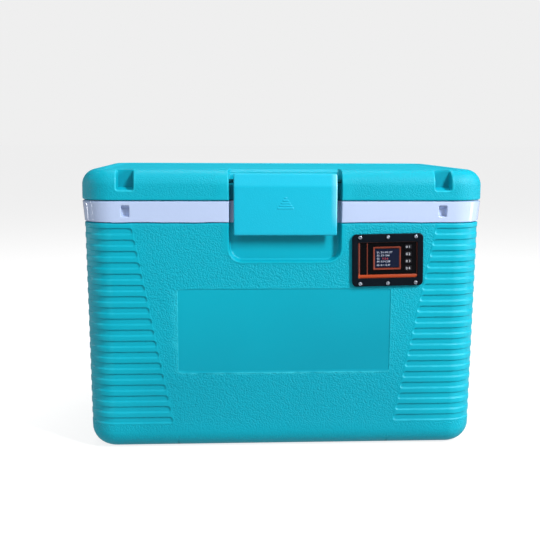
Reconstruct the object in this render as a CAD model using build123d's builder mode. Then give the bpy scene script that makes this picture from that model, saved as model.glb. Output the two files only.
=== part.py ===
from build123d import *
from math import atan2, degrees, radians, tan
import os

# A cold box that keeps vaccines within their temperature range on the road.
# A foam-filled body holds a white chamber, a foam-filled lid closes it with a plug and a gasket,
# a wide latch at the front hooks under the chamber's rim, and a recorder in the front wall
# shows the temperature of the chamber.
#
# X runs across the front, Y from the front to the back, and Z up. The origin is on the floor
# under the middle of the body. Lengths are in millimetres and angles in degrees.

# ---------------------------------------------------------------------------------------------
# Driving dimensions
# ---------------------------------------------------------------------------------------------

# Body: a drafted tub, measured at its top edge
body_length = 594.0
body_width = 394.0
body_height = 344.0
body_draft = 0.94
body_corner = 45.0
body_floor_round = 32.0
shell_wall = 4.5

# Grooves that wrap the four corners
groove_pitch = 16.8
groove_height = 9.0
groove_depth = 1.4
groove_start = 7.4  # from the body's top edge down to the first groove
groove_reach_top = 72.5  # from the body's side to the end of the highest groove
groove_reach_low = 122.0  # the same at the lowest groove

# Smooth panel for a label, sunk into the front wall
label_length = 318.0
label_height = 127.5
label_drop = 162.0  # from the body's top edge down to its middle
label_depth = 1.0
label_corner = 3.0

# Chamber, its rim and the white band that shows between the body and the lid
insulation = 36.0
inner_bevel_share = 0.76  # of a moulded round, where the foam meets its back
outer_bevel_share = 0.55  # of a moulded round, where it stands in the foam
liner_wall = 3.0
chamber_draft = 1.0
chamber_corner = 22.0
chamber_floor_round = 12.0
rim_thickness = 4.0
band_height = 32.0
band_flare = 3.0  # how far the band's top edge stands outside the body's
band_wall = 4.0

# Lid
lid_gap = 1.0  # open line between the band and the lid
lid_height = 45.0
lid_top_round = 24.0
lid_foot_bevel = 2.0
lid_wall = 4.5
lid_liner_wall = 3.0
lid_liner_rise = 2.0
plug_depth = 22.0
plug_gap = 3.0
plug_draft = 3.0
gasket_width = 8.0
gasket_seat = 1.5
gasket_gap = 0.3  # to the rim, before the latch pulls the lid down
gasket_inset = 5.0  # from the chamber's wall to the gasket

# Notches in the front of the lid and of the band
notch_side = 63.5  # from the body's side to the middle of a notch
lid_notch_width = 28.0
lid_notch_bottom = 15.0  # above the lid's lower edge
lid_notch_top = 6.0  # below the lid's top
lid_notch_depth = 15.0
band_notch_width = 12.0
band_notch_height = 16.5
band_notch_bottom = 9.0
band_notch_depth = 8.0
notch_wall = 3.0
notch_corner = 1.5

# Latch pocket, which runs down the front of the lid, the band and the body
latch_width = 152.0
latch_side_gap = 7.0
pocket_depth = 13.0
pocket_drop = 57.0
pocket_corner = 20.0
pocket_slope = 8.0  # of its walls, where it ends in the body
lid_pocket_depth = 25.0
lid_pocket_corner = 6.0

# Latch
latch_thickness = 4.0
latch_proud = 2.0
latch_drop = 18.0
latch_top_gap = 6.0
latch_bend_gap = 24.0
latch_lean = 8.5
latch_bend_radius = 14.0
latch_barrel_radius = 6.0
latch_barrel_inset = 2.0
latch_pin_radius = 3.0
latch_pivot_drop = 17.0
latch_pivot_depth = 9.0
latch_rib_spread = 104.0
latch_rib_thickness = 3.0
latch_root = 1.0  # how far ribs and hook run into the plate
catch_width = 64.0
catch_reach = 7.0
catch_drop = 14.0
catch_thickness = 5.0
hook_width = 56.0
hook_height = 11.0
hook_tip_height = 4.4
hook_grip = 3.5
hook_gap = 0.4

# Hinges
hinge_side = 107.0  # from the body's side to the middle of a hinge
hinge_width = 56.0
hinge_leaf_thickness = 2.5
hinge_leaf_height = 24.0
hinge_barrel_radius = 4.5
hinge_pin_radius = 2.0
hinge_back_gap = 0.5
hinge_knuckle_gap = 0.3
hinge_middle_knuckle = 27.4
box_leaf_sink = 2.6
lid_leaf_sink = 1.4
hinge_pad_thickness = 8.0
hinge_pad_height = 17.0
box_pad_drop = 18.2
lid_pad_rise = 14.9

# Hand grips in the two ends
grip_length = 110.0
grip_height = 39.0
grip_drop = 26.0  # from the body's top edge
grip_depth = 24.0
grip_undercut = 12.0
grip_lip = 9.0

# Recorder in the front wall. Its plate was fitted by hand, a little out of level.
panel_side = 144.5  # from the body's side to the middle of the recorder
panel_drop = 54.8  # from the body's top edge to the middle of the recorder
panel_roll = 1.2
bezel_length = 106.0
bezel_height = 78.0
bezel_thickness = 5.0
bezel_corner = 6.5
bezel_edge = 0.8
window_length = 88.8
window_height = 53.5
window_corner = 2.0
rib_x = -30.4  # upright rib of the case, between the face and its side cover
rib_width = 1.4
seal_thickness = 1.0
bezel_screw_length = 83.0
bezel_screw_height = 69.0
bezel_screw_radius = 1.5
bezel_screw_head_radius = 3.0
bezel_screw_head_height = 2.0
case_length = 95.0
case_height = 60.0
case_depth = 27.0
case_wall = 2.5
case_corner = 3.0
flange_length = 100.0
flange_height = 65.0
flange_thickness = 1.5
face_length = 84.8
face_height = 48.0
face_shift_x = 1.1
face_shift_z = 2.3
face_proud = 0.8
face_thickness = 1.6
face_rim = 1.2
screen_x = -0.9
screen_z = 2.5
screen_length = 36.6
screen_height = 27.7
screen_frame_length = 42.9
screen_frame_height = 35.3
screen_frame_proud = 1.2
screen_frame_corner = 1.0
key_x = 31.0
key_top_z = 19.0
key_pitch = 10.65
key_count = 4
key_length = 10.5
key_height = 6.6
key_corner = 1.0
key_edge = 0.4
key_proud = 1.1
key_travel = 0.8
key_flange = 0.8
key_flange_thickness = 1.0
key_stem_size = 3.5
key_stem_length = 2.0
switch_size = 6.0
switch_height = 3.5
board_length = 86.0
board_height = 50.0
board_thickness = 1.6
post_length = 76.0
post_height = 40.0
post_size = 6.0
battery_length = 54.0
battery_height = 34.0
battery_thickness = 9.0
battery_x = 4.0
probe_x = -36.0
probe_z = 0.0
probe_radius = 3.0
probe_tip = 1.5
probe_reach = 7.0
grommet_radius = 6.0
grommet_flange_radius = 8.5
grommet_flange_thickness = 1.5

# Clearances
running_gap = 0.05  # round a pin that something turns on
fit_gap = 0.2  # between pieces that drop into each other
screw_gap = 0.05  # round a screw, and over a key's stem
plug_fit = 0.1  # round a grommet or a gasket
screw_tip_gap = 0.3
overshoot = 30.0  # how far a cut runs past the face that it opens

# ---------------------------------------------------------------------------------------------
# Levels and planes worked out from them
# ---------------------------------------------------------------------------------------------

body_slope = tan(radians(body_draft))
rim_top = body_height + band_height
lid_bottom = rim_top + lid_gap
lid_top = lid_bottom + lid_height
lid_length = body_length + 2 * band_flare
lid_width = body_width + 2 * band_flare
lid_corner = body_corner + band_flare
lid_front = -lid_width / 2
lid_back = lid_width / 2

groove_count = int((body_height - groove_start - body_floor_round) / groove_pitch)
lowest_groove = body_height - groove_start - groove_pitch * (groove_count - 1)
grip_top = body_height - grip_drop
panel_x = body_length / 2 - panel_side
panel_z = body_height - panel_drop

chamber_length = body_length - 2 * (shell_wall + insulation + liner_wall)
chamber_width = body_width - 2 * (shell_wall + insulation + liner_wall)
chamber_floor = shell_wall + insulation + liner_wall
chamber_slope = tan(radians(chamber_draft))

lid_seat = lid_bottom + lid_liner_rise
liner_top = lid_seat + lid_liner_wall
pocket_floor = -body_width / 2 + pocket_depth
pocket_half = latch_width / 2 + latch_side_gap

latch_front = lid_front - latch_proud
latch_back = latch_front + latch_thickness
latch_bottom = body_height - latch_drop
latch_top = lid_top - latch_top_gap
latch_bend = lid_top - latch_bend_gap
pivot_y = lid_front + latch_pivot_depth
pivot_z = lid_top - latch_pivot_drop
catch_under = rim_top - catch_drop
catch_front = pocket_floor - catch_reach

hinge_y = lid_back + hinge_back_gap + hinge_barrel_radius
hinge_z = rim_top + lid_gap / 2
hinge_places = (hinge_side - body_length / 2, body_length / 2 - hinge_side)
box_leaf_back = lid_back - box_leaf_sink
lid_leaf_back = lid_back - lid_leaf_sink


def front_plane(x, z, roll=0.0):
    """Plane on the drafted front wall, looking out of it, turned anticlockwise by the roll."""
    y = -body_width / 2 + (body_height - z) * body_slope
    outward = Axis((x, y, z), (0, -1, -body_slope))
    return Plane(
        origin=(x, y, z), x_dir=Vector(1, 0, 0).rotate(outward, roll), z_dir=outward.direction
    )


panel = front_plane(panel_x, panel_z, panel_roll)
outward = Axis(panel.origin, panel.z_dir)
flange_back = seal_thickness
flange_front = flange_back + flange_thickness
face_front = flange_back + face_proud
face_back = flange_back - face_thickness - fit_gap
switch_top = face_back - fit_gap - key_flange_thickness - key_stem_length - key_travel - screw_gap
board_front = switch_top - switch_height
board_back = board_front - board_thickness
case_floor = flange_back - case_depth + case_wall
key_places = [(key_x, key_top_z - key_pitch * i) for i in range(key_count)]


# ---------------------------------------------------------------------------------------------
# Forms that several pieces share
# ---------------------------------------------------------------------------------------------


def drafted_block(length, width, corner, bottom, top, draft=0.0):
    """Upright block with rounded corners, sized at its top and narrowing downwards."""
    with BuildPart() as block:
        with BuildSketch(Plane.XY.offset(top)):
            RectangleRounded(length, width, corner)
        extrude(amount=bottom - top, taper=draft)
    return block.part


def hidden_block(length, width, corner, bottom, top, draft=0.0):
    """The same block with bevelled corners, for faces that lie between a moulding and foam."""
    height = top - bottom
    shrink = height * tan(radians(draft))
    with BuildPart() as block:
        with Locations((0, 0, (top + bottom) / 2)):
            Wedge(
                length,
                height,
                width,
                shrink,
                shrink,
                length - shrink,
                width - shrink,
                rotation=(-90, 0, 0),
            )
        chamfer(block.edges().group_by(Axis.Z)[1], corner)
    return block.part


def body_tub():
    """The body's outer form."""
    with BuildPart() as tub:
        add(drafted_block(body_length, body_width, body_corner, 0, body_height, body_draft))
        fillet(tub.edges().group_by(Axis.Z)[0], body_floor_round)
    return tub.part


def body_hollow():
    """The body's inner form, which the foam fills."""
    with BuildPart() as tub:
        add(
            hidden_block(
                body_length - 2 * shell_wall,
                body_width - 2 * shell_wall,
                (body_corner - shell_wall) * inner_bevel_share,
                shell_wall,
                body_height,
                body_draft,
            )
        )
        foot = tub.edges().group_by(Axis.Z)[0]
        chamfer(foot, (body_floor_round - shell_wall) * inner_bevel_share)
    return tub.part


def chamber_hollow():
    """The inside of the chamber."""
    with BuildPart() as tub:
        add(
            drafted_block(
                chamber_length,
                chamber_width,
                chamber_corner,
                chamber_floor,
                rim_top,
                chamber_draft,
            )
        )
        fillet(tub.edges().group_by(Axis.Z)[0], chamber_floor_round)
    return tub.part


def chamber_outside():
    """The outside of the chamber's wall, which stands in the foam."""
    with BuildPart() as tub:
        add(
            hidden_block(
                chamber_length + 2 * liner_wall,
                chamber_width + 2 * liner_wall,
                (chamber_corner + liner_wall) * outer_bevel_share,
                chamber_floor - liner_wall,
                rim_top,
                chamber_draft,
            )
        )
        foot = tub.edges().group_by(Axis.Z)[0]
        chamfer(foot, (chamber_floor_round + liner_wall) * outer_bevel_share)
    return tub.part


def lid_block():
    """The lid's outer form."""
    with BuildPart() as block:
        add(drafted_block(lid_length, lid_width, lid_corner, lid_bottom, lid_top))
        fillet(block.edges().group_by(Axis.Z)[-1], lid_top_round)
        chamfer(block.edges().group_by(Axis.Z)[0], lid_foot_bevel)
    return block.part


def lid_hollow():
    """The lid's inner form above its white plate, which the foam fills."""
    with BuildPart() as block:
        add(
            hidden_block(
                lid_length - 2 * lid_wall,
                lid_width - 2 * lid_wall,
                (lid_corner - lid_wall) * inner_bevel_share,
                liner_top,
                lid_top - lid_wall,
            )
        )
        edge = block.edges().group_by(Axis.Z)[-1]
        chamfer(edge, (lid_top_round - lid_wall) * inner_bevel_share)
    return block.part


def body_pocket(grow):
    """The latch pocket in the body, whose walls draw in a little, moved out by a wall."""
    face = Plane.XZ.offset(body_width / 2)
    with BuildPart() as pocket:
        with BuildSketch(face):
            with Locations((0, body_height)):
                RectangleRounded(
                    2 * (pocket_half + grow), 2 * (pocket_drop + grow), pocket_corner + grow
                )
        extrude(amount=-(pocket_depth + grow), taper=pocket_slope)
        with BuildSketch(face):
            with Locations((0, body_height)):
                RectangleRounded(
                    2 * (pocket_half + grow), 2 * (pocket_drop + grow), pocket_corner + grow
                )
        extrude(amount=2 * band_flare)
    return pocket.part


def front_slot(x, width, bottom, top, depth, corner):
    """A straight pocket cut into the front, from outside it to a depth behind the lid's face."""
    with BuildPart() as slot:
        with BuildSketch(Plane.XZ.offset(lid_width / 2 - depth)):
            with Locations((x, (bottom + top) / 2)):
                RectangleRounded(width, top - bottom, corner)
        extrude(amount=depth + overshoot)
    return slot.part


def band_pocket(grow):
    """The latch pocket behind the band."""
    half = pocket_half + grow
    depth = band_flare + pocket_depth + grow
    bottom = body_height - overshoot
    return front_slot(0, 2 * half, bottom, rim_top + overshoot, depth, lid_pocket_corner)


def lid_pocket(grow):
    """The latch pocket in the lid, open at its foot and at its top."""
    half = pocket_half + grow
    top = lid_top + overshoot
    bottom = lid_bottom - overshoot
    return front_slot(0, 2 * half, bottom, top, lid_pocket_depth + grow, lid_pocket_corner)


def notches(width, bottom, top, depth, grow):
    """The pair of notches beside the latch, at one level, moved out by a wall."""
    return [
        front_slot(
            side * (body_length / 2 - notch_side),
            width + 2 * grow,
            bottom - grow,
            top + grow,
            depth + grow,
            notch_corner + grow,
        )
        for side in (-1, 1)
    ]


def lid_notches(grow):
    """The notches in the lid's front."""
    bottom = lid_bottom + lid_notch_bottom
    top = lid_top - lid_notch_top
    return notches(lid_notch_width, bottom, top, lid_notch_depth, grow)


def band_notches(grow):
    """The notches in the band's front."""
    bottom = body_height + band_notch_bottom
    top = bottom + band_notch_height
    depth = band_notch_depth + band_flare / 2
    return notches(band_notch_width, bottom, top, depth, grow)


def hand_grips(grow):
    """The grips in the two ends: a mouth that rises behind a lip, moved out by a wall."""
    bottom = grip_top - grip_height
    with BuildPart() as grips:
        with BuildSketch(Plane.XZ) as profile:
            with BuildLine():
                x = body_length / 2
                Polyline(
                    (x + overshoot, bottom),
                    (x + overshoot, grip_top),
                    (x - grip_lip, grip_top),
                    (x - grip_lip, grip_top + grip_undercut),
                    (x - grip_depth, grip_top + grip_undercut),
                    (x - grip_depth, bottom + grip_undercut),
                    (x - grip_lip, bottom),
                    close=True,
                )
            make_face()
            if grow:
                offset(amount=grow, kind=Kind.INTERSECTION)
        extrude(amount=grip_length / 2 + grow, both=True)
        mirror(about=Plane.YZ)
    return grips.part


def hinge_pads(z, back):
    """Thickened wall behind the two leaves of one level, for their screws."""
    with BuildPart() as pads:
        with Locations([(x, back - hinge_pad_thickness / 2, z) for x in hinge_places]):
            Box(hinge_width, hinge_pad_thickness, hinge_pad_height)
    return pads.part


def hinge_recess(back, bottom, top):
    """Flat seats for the two leaves of one level, open to the back."""
    with BuildPart() as seats:
        with Locations([(x, back + overshoot / 2, (bottom + top) / 2) for x in hinge_places]):
            Box(hinge_width + 2 * fit_gap, overshoot, top - bottom)
    return seats.part


def panel_screw_spots():
    """The six screws round the bezel."""
    return GridLocations(bezel_screw_length / 2, bezel_screw_height, 3, 2)


# ---------------------------------------------------------------------------------------------
# Body
# ---------------------------------------------------------------------------------------------

# The grooves are rings round the whole body, each following the draft at its own level. Two
# tapering blocks then take the rings out of the middle of each wall, which leaves every groove
# a little longer than the one above it.
def groove_ends(size):
    """Outline of the smooth middle of a wall: wide at the top, narrow at the bottom."""
    top = body_height - groove_start
    half_top = size / 2 - groove_reach_top
    half_low = size / 2 - groove_reach_low
    grow = (half_top - half_low) / (top - lowest_groove)
    foot = lowest_groove - groove_pitch
    return [
        (-half_low + grow * groove_pitch, foot),
        (half_low - grow * groove_pitch, foot),
        (half_top + grow * groove_start, body_height),
        (-half_top - grow * groove_start, body_height),
    ]


with BuildPart() as groove_rings:
    for i in range(groove_count):
        groove_top = body_height - groove_start - groove_pitch * i
        sunk = groove_depth + (body_height - groove_top + groove_height / 2) * body_slope
        with BuildSketch(Plane.XY.offset(groove_top - groove_height)):
            RectangleRounded(lid_length + overshoot, lid_width + overshoot, lid_corner)
            RectangleRounded(
                body_length - 2 * sunk,
                body_width - 2 * sunk,
                body_corner - sunk,
                mode=Mode.SUBTRACT,
            )
        extrude(amount=groove_height)
    with BuildSketch(Plane.XZ):
        Polygon(*groove_ends(body_length), align=None)
    extrude(amount=lid_width, both=True, mode=Mode.SUBTRACT)
    with BuildSketch(Plane.YZ):
        Polygon(*groove_ends(body_width), align=None)
    extrude(amount=lid_length, both=True, mode=Mode.SUBTRACT)

pocket_cut = body_pocket(0)
pocket_wall = body_pocket(shell_wall)
grips_cut = hand_grips(0)
grips_wall = hand_grips(shell_wall)
tub = body_tub()
tub_hollow = body_hollow()

# What fills the body behind its own walls
with BuildPart() as body_core:
    add(tub_hollow)
    add(pocket_wall, mode=Mode.SUBTRACT)
    add(grips_wall, mode=Mode.SUBTRACT)

with BuildPart() as outer_shell:
    add(tub)
    add(body_core.part, mode=Mode.SUBTRACT)
    add(pocket_cut, mode=Mode.SUBTRACT)
    add(grips_cut, mode=Mode.SUBTRACT)
    add(groove_rings.part, mode=Mode.SUBTRACT)
    with BuildSketch(front_plane(0, body_height - label_drop)):
        RectangleRounded(label_length, label_height, label_corner)
    extrude(amount=-label_depth, mode=Mode.SUBTRACT)
    with BuildSketch(panel):
        RectangleRounded(case_length + fit_gap, case_height + fit_gap, case_corner)
    extrude(amount=-2 * shell_wall, mode=Mode.SUBTRACT)
    with BuildSketch(panel):
        with panel_screw_spots():
            Circle(bezel_screw_radius + screw_gap)
    extrude(amount=-2 * shell_wall, mode=Mode.SUBTRACT)
outer_shell.part.label = "outer_shell"

# The white moulding: the chamber, the rim round it, and the band that hangs from the rim
hollow = chamber_hollow()
hollow_wall = chamber_outside()
band_draft = degrees(atan2(band_flare, band_height))
band_block = drafted_block(
    lid_length, lid_width, lid_corner, body_height, rim_top, band_draft
)
band_pocket_cut = band_pocket(0)
band_pocket_wall = band_pocket(band_wall)
band_notch_cuts = band_notches(0)
band_notch_walls = band_notches(notch_wall)
box_leaf_pads = hinge_pads(hinge_z - box_pad_drop, body_width / 2 - band_wall)
box_leaf_seats = hinge_recess(
    box_leaf_back, hinge_z - hinge_leaf_height - fit_gap, rim_top + lid_gap
)

with BuildPart() as band_core:
    add(
        hidden_block(
            body_length - 2 * band_wall,
            body_width - 2 * band_wall,
            (body_corner - band_wall) * inner_bevel_share,
            body_height,
            rim_top - rim_thickness,
        )
    )
    add(band_pocket_wall, mode=Mode.SUBTRACT)
    add(band_notch_walls, mode=Mode.SUBTRACT)
    add(box_leaf_pads, mode=Mode.SUBTRACT)

with BuildPart() as inner_liner:
    add(band_block)
    add(band_core.part, mode=Mode.SUBTRACT)
    add(band_pocket_cut, mode=Mode.SUBTRACT)
    add(band_notch_cuts, mode=Mode.SUBTRACT)
    add(box_leaf_seats, mode=Mode.SUBTRACT)
    add(hollow_wall)
    add(hollow, mode=Mode.SUBTRACT)
    with BuildSketch(Plane.YZ.offset(-catch_width / 2)):
        with BuildLine():
            Polyline(
                (pocket_floor, catch_under),
                (catch_front, catch_under),
                (catch_front, catch_under + catch_thickness),
                (pocket_floor, catch_under + 2 * catch_thickness),
                close=True,
            )
        make_face()
    extrude(amount=catch_width)
    probe_hole_plane = panel.offset(-2 * insulation)
    with BuildSketch(probe_hole_plane):
        with Locations((probe_x, probe_z)):
            Circle(grommet_radius)
    extrude(amount=2 * insulation - case_depth, mode=Mode.SUBTRACT)
inner_liner.part.label = "inner_liner"

with BuildPart() as box_foam:
    add(body_core.part)
    add(band_core.part)
    add(hollow_wall, mode=Mode.SUBTRACT)
    with BuildSketch(panel):
        RectangleRounded(case_length + fit_gap, case_height + fit_gap, case_corner)
    extrude(amount=flange_back - case_depth, mode=Mode.SUBTRACT)
    with BuildSketch(panel):
        with Locations((probe_x, probe_z)):
            Circle(probe_radius + screw_gap)
    extrude(amount=-2 * insulation, mode=Mode.SUBTRACT)
box_foam.part.label = "box_foam"

# ---------------------------------------------------------------------------------------------
# Recorder, from the wall outwards and then from the case inwards
# ---------------------------------------------------------------------------------------------

with BuildPart() as bezel_seal:
    with BuildSketch(panel):
        Rectangle(flange_length - 2 * fit_gap, flange_height - 2 * fit_gap)
        Rectangle(case_length + fit_gap, case_height + fit_gap, mode=Mode.SUBTRACT)
    extrude(amount=seal_thickness)
bezel_seal.part.label = "bezel_seal"

# The bezel bears on the wall all round. The seal and the case's flange lie in a recess behind it.
with BuildPart() as display_bezel:
    with BuildSketch(panel):
        RectangleRounded(bezel_length, bezel_height, bezel_corner)
    extrude(amount=bezel_thickness)
    bezel_front = display_bezel.faces().filter_by(panel).sort_by(outward)[-1]
    chamfer(bezel_front.edges(), bezel_edge)
    with BuildSketch(panel):
        RectangleRounded(window_length, window_height, window_corner)
        with panel_screw_spots():
            Circle(bezel_screw_radius + screw_gap)
    extrude(amount=bezel_thickness, mode=Mode.SUBTRACT)
    with BuildSketch(panel):
        Rectangle(flange_length, flange_height)
    extrude(amount=flange_front, mode=Mode.SUBTRACT)
display_bezel.part.label = "display_bezel"

with BuildPart() as bezel_screws:
    head_plane = panel.offset(bezel_thickness)
    with BuildSketch(head_plane):
        with panel_screw_spots():
            Circle(bezel_screw_head_radius)
    extrude(amount=bezel_screw_head_height)
    with BuildSketch(head_plane):
        with panel_screw_spots():
            Circle(bezel_screw_radius)
    extrude(amount=-(bezel_thickness + shell_wall - screw_tip_gap))
bezel_screws.part.label = "bezel_screws"

with BuildPart() as recorder_case:
    with BuildSketch(panel.offset(flange_back - case_depth)):
        RectangleRounded(case_length, case_height, case_corner)
    extrude(amount=case_depth)
    with BuildSketch(panel.offset(case_floor)):
        Rectangle(case_length - 2 * case_wall, case_height - 2 * case_wall)
    extrude(amount=flange_back - case_floor, mode=Mode.SUBTRACT)
    with BuildSketch(panel.offset(case_floor)):
        with GridLocations(post_length, post_height, 2, 2):
            Rectangle(post_size, post_size)
    extrude(amount=board_back - case_floor)
    with BuildSketch(panel.offset(flange_back)):
        Rectangle(flange_length - 2 * fit_gap, flange_height - 2 * fit_gap)
        with Locations((face_shift_x, face_shift_z)):
            Rectangle(face_length, face_height, mode=Mode.SUBTRACT)
        with Locations((rib_x, face_shift_z)):
            Rectangle(rib_width, face_height)
    extrude(amount=flange_thickness)
    with BuildSketch(panel.offset(case_floor)):
        with Locations((probe_x, probe_z)):
            Circle(probe_radius + screw_gap)
    extrude(amount=-2 * case_wall, mode=Mode.SUBTRACT)
recorder_case.part.label = "recorder_case"

# The face lies behind the case's rib and stands out on both sides of it. To the left of the rib
# it forms a plain side cover.
with BuildPart() as recorder_face:
    with BuildSketch(panel.offset(flange_back)):
        with Locations((face_shift_x, face_shift_z)):
            Rectangle(face_length - 2 * fit_gap, face_height - 2 * fit_gap)
        with Locations((rib_x, face_shift_z)):
            Rectangle(rib_width + 2 * fit_gap, face_height, mode=Mode.SUBTRACT)
    extrude(amount=face_proud)
    with BuildSketch(panel.offset(flange_back)):
        with Locations((face_shift_x, face_shift_z)):
            Rectangle(face_length + 2 * face_rim, face_height + 2 * face_rim)
        Rectangle(
            case_length - 2 * case_wall - fit_gap,
            case_height - 2 * case_wall - fit_gap,
            mode=Mode.INTERSECT,
        )
    extrude(amount=face_back - flange_back)
    with BuildSketch(panel.offset(face_front)):
        with Locations((screen_x, screen_z)):
            Rectangle(screen_length, screen_height)
        with Locations(key_places):
            RectangleRounded(
                key_length + 2 * fit_gap, key_height + 2 * fit_gap, key_corner + fit_gap
            )
    extrude(amount=face_back - face_front, mode=Mode.SUBTRACT)
recorder_face.part.label = "recorder_face"

with BuildPart() as lcd_frame:
    with BuildSketch(panel.offset(face_front)):
        with Locations((screen_x, screen_z)):
            RectangleRounded(screen_frame_length, screen_frame_height, screen_frame_corner)
            Rectangle(screen_length + 2 * fit_gap, screen_height + 2 * fit_gap, mode=Mode.SUBTRACT)
    extrude(amount=screen_frame_proud)
lcd_frame.part.label = "lcd_frame"

with BuildPart() as lcd_screen:
    with BuildSketch(panel.offset(face_back)):
        with Locations((screen_x, screen_z)):
            Rectangle(screen_length - 2 * fit_gap, screen_height - 2 * fit_gap)
    extrude(amount=face_front + fit_gap - face_back)
lcd_screen.part.label = "lcd_screen"

buttons = []
for number, place in enumerate(key_places, start=1):
    flange_top = face_back - fit_gap
    with BuildPart() as button:
        with BuildSketch(panel.offset(flange_top)):
            with Locations(place):
                RectangleRounded(key_length, key_height, key_corner)
        extrude(amount=face_front + key_proud - flange_top)
        button_front = button.faces().filter_by(panel).sort_by(outward)[-1]
        chamfer(button_front.edges(), key_edge)
        with BuildSketch(panel.offset(flange_top)):
            with Locations(place):
                Rectangle(
                    key_length + 2 * (key_flange + fit_gap),
                    key_height + 2 * (key_flange + fit_gap),
                )
        extrude(amount=-key_flange_thickness)
        with BuildSketch(panel.offset(flange_top - key_flange_thickness)):
            with Locations(place):
                Rectangle(key_stem_size, key_stem_size)
        extrude(amount=-key_stem_length)
    button.part.label = f"button_{number}"
    buttons.append(button.part)

with BuildPart() as key_switches:
    with BuildSketch(panel.offset(board_front)):
        with Locations(key_places):
            Rectangle(switch_size, switch_size)
    extrude(amount=switch_height)
key_switches.part.label = "key_switches"

with BuildPart() as circuit_board:
    with BuildSketch(panel.offset(board_back)):
        Rectangle(board_length, board_height)
    extrude(amount=board_thickness)
circuit_board.part.label = "circuit_board"

with BuildPart() as battery:
    with BuildSketch(panel.offset(case_floor)):
        with Locations((battery_x, 0)):
            Rectangle(battery_length, battery_height)
    extrude(amount=battery_thickness)
battery.part.label = "battery"

# The sensor's steel sleeve runs straight from the case through the foam into the chamber
chamber_face = body_width / 2 - chamber_width / 2
chamber_face += (rim_top - panel_z) * chamber_slope - (body_height - panel_z) * body_slope
with BuildPart() as temperature_probe:
    with BuildSketch(panel.offset(case_floor)):
        with Locations((probe_x, probe_z)):
            Circle(probe_radius)
    extrude(amount=-(case_floor + chamber_face + probe_reach))
    chamfer(temperature_probe.edges().filter_by(GeomType.CIRCLE).sort_by(outward)[0], probe_tip)
temperature_probe.part.label = "temperature_probe"

with BuildPart() as probe_grommet:
    with BuildSketch(panel.offset(liner_wall - chamber_face)):
        with Locations((probe_x, probe_z)):
            Circle(grommet_radius - plug_fit)
    extrude(amount=-liner_wall - fit_gap)
    with BuildSketch(panel.offset(-chamber_face - fit_gap)):
        with Locations((probe_x, probe_z)):
            Circle(grommet_flange_radius)
    extrude(amount=-grommet_flange_thickness)
    with BuildSketch(panel):
        with Locations((probe_x, probe_z)):
            Circle(probe_radius + screw_gap)
    extrude(amount=-2 * insulation, mode=Mode.SUBTRACT)
probe_grommet.part.label = "probe_grommet"

# ---------------------------------------------------------------------------------------------
# Lid
# ---------------------------------------------------------------------------------------------

lid_outside = lid_block()
lid_inside = lid_hollow()
lid_pocket_cut = lid_pocket(0)
lid_pocket_wall = lid_pocket(lid_wall)
lid_notch_cuts = lid_notches(0)
lid_notch_walls = lid_notches(notch_wall)
lid_leaf_pads = hinge_pads(hinge_z + lid_pad_rise, lid_back - lid_wall)
lid_leaf_seats = hinge_recess(
    lid_leaf_back, lid_bottom - lid_gap, hinge_z + hinge_leaf_height + fit_gap
)
liner_seat = drafted_block(
    lid_length - 2 * lid_wall,
    lid_width - 2 * lid_wall,
    lid_corner - lid_wall,
    lid_bottom,
    liner_top,
)

with BuildPart() as lid_core:
    add(lid_inside)
    add(lid_pocket_wall, mode=Mode.SUBTRACT)
    add(lid_notch_walls, mode=Mode.SUBTRACT)
    add(lid_leaf_pads, mode=Mode.SUBTRACT)

with BuildPart() as latch_pin_bore:
    with BuildSketch(Plane.YZ):
        with Locations((pivot_y, pivot_z)):
            Circle(latch_pin_radius + running_gap)
    extrude(amount=pocket_half + lid_wall, both=True)

with BuildPart() as lid_shell:
    add(lid_outside)
    add(lid_core.part, mode=Mode.SUBTRACT)
    add(liner_seat, mode=Mode.SUBTRACT)
    add(lid_pocket_cut, mode=Mode.SUBTRACT)
    add(lid_notch_cuts, mode=Mode.SUBTRACT)
    add(lid_leaf_seats, mode=Mode.SUBTRACT)
    add(latch_pin_bore.part, mode=Mode.SUBTRACT)
lid_shell.part.label = "lid_shell"

# The white inner moulding: a plate that closes the lid, and the plug that hangs from it
plug_length = chamber_length - 2 * plug_gap
plug_width = chamber_width - 2 * plug_gap
plug_corner = chamber_corner - plug_gap
plug_bottom = lid_seat - plug_depth
gasket_inner_length = chamber_length + 2 * (liner_wall + gasket_inset)
gasket_inner_width = chamber_width + 2 * (liner_wall + gasket_inset)
gasket_corner = chamber_corner + liner_wall + gasket_inset

plug_block = drafted_block(
    plug_length, plug_width, plug_corner, plug_bottom, lid_seat, plug_draft
)
plug_hollow = drafted_block(
    plug_length - 2 * lid_liner_wall,
    plug_width - 2 * lid_liner_wall,
    plug_corner - lid_liner_wall,
    plug_bottom + lid_liner_wall,
    liner_top,
    plug_draft,
)


def gasket_ring(clearance):
    """Outline of the gasket, or of the groove that it sits in."""
    width = gasket_width + clearance
    RectangleRounded(
        gasket_inner_length + 2 * width, gasket_inner_width + 2 * width, gasket_corner + width
    )
    RectangleRounded(
        gasket_inner_length - 2 * clearance,
        gasket_inner_width - 2 * clearance,
        gasket_corner - clearance,
        mode=Mode.SUBTRACT,
    )


with BuildPart() as lid_liner:
    add(liner_seat)
    split(bisect_by=Plane.XY.offset(lid_seat), keep=Keep.TOP)
    add(lid_pocket_wall, mode=Mode.SUBTRACT)
    add(plug_block)
    add(plug_hollow, mode=Mode.SUBTRACT)
    with BuildSketch(Plane.XY.offset(lid_seat)):
        gasket_ring(plug_fit)
    extrude(amount=gasket_seat, mode=Mode.SUBTRACT)
lid_liner.part.label = "lid_liner"

with BuildPart() as lid_gasket:
    with BuildSketch(Plane.XY.offset(rim_top + gasket_gap)):
        gasket_ring(0)
    extrude(amount=lid_seat + gasket_seat - rim_top - gasket_gap)
lid_gasket.part.label = "lid_gasket"

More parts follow.
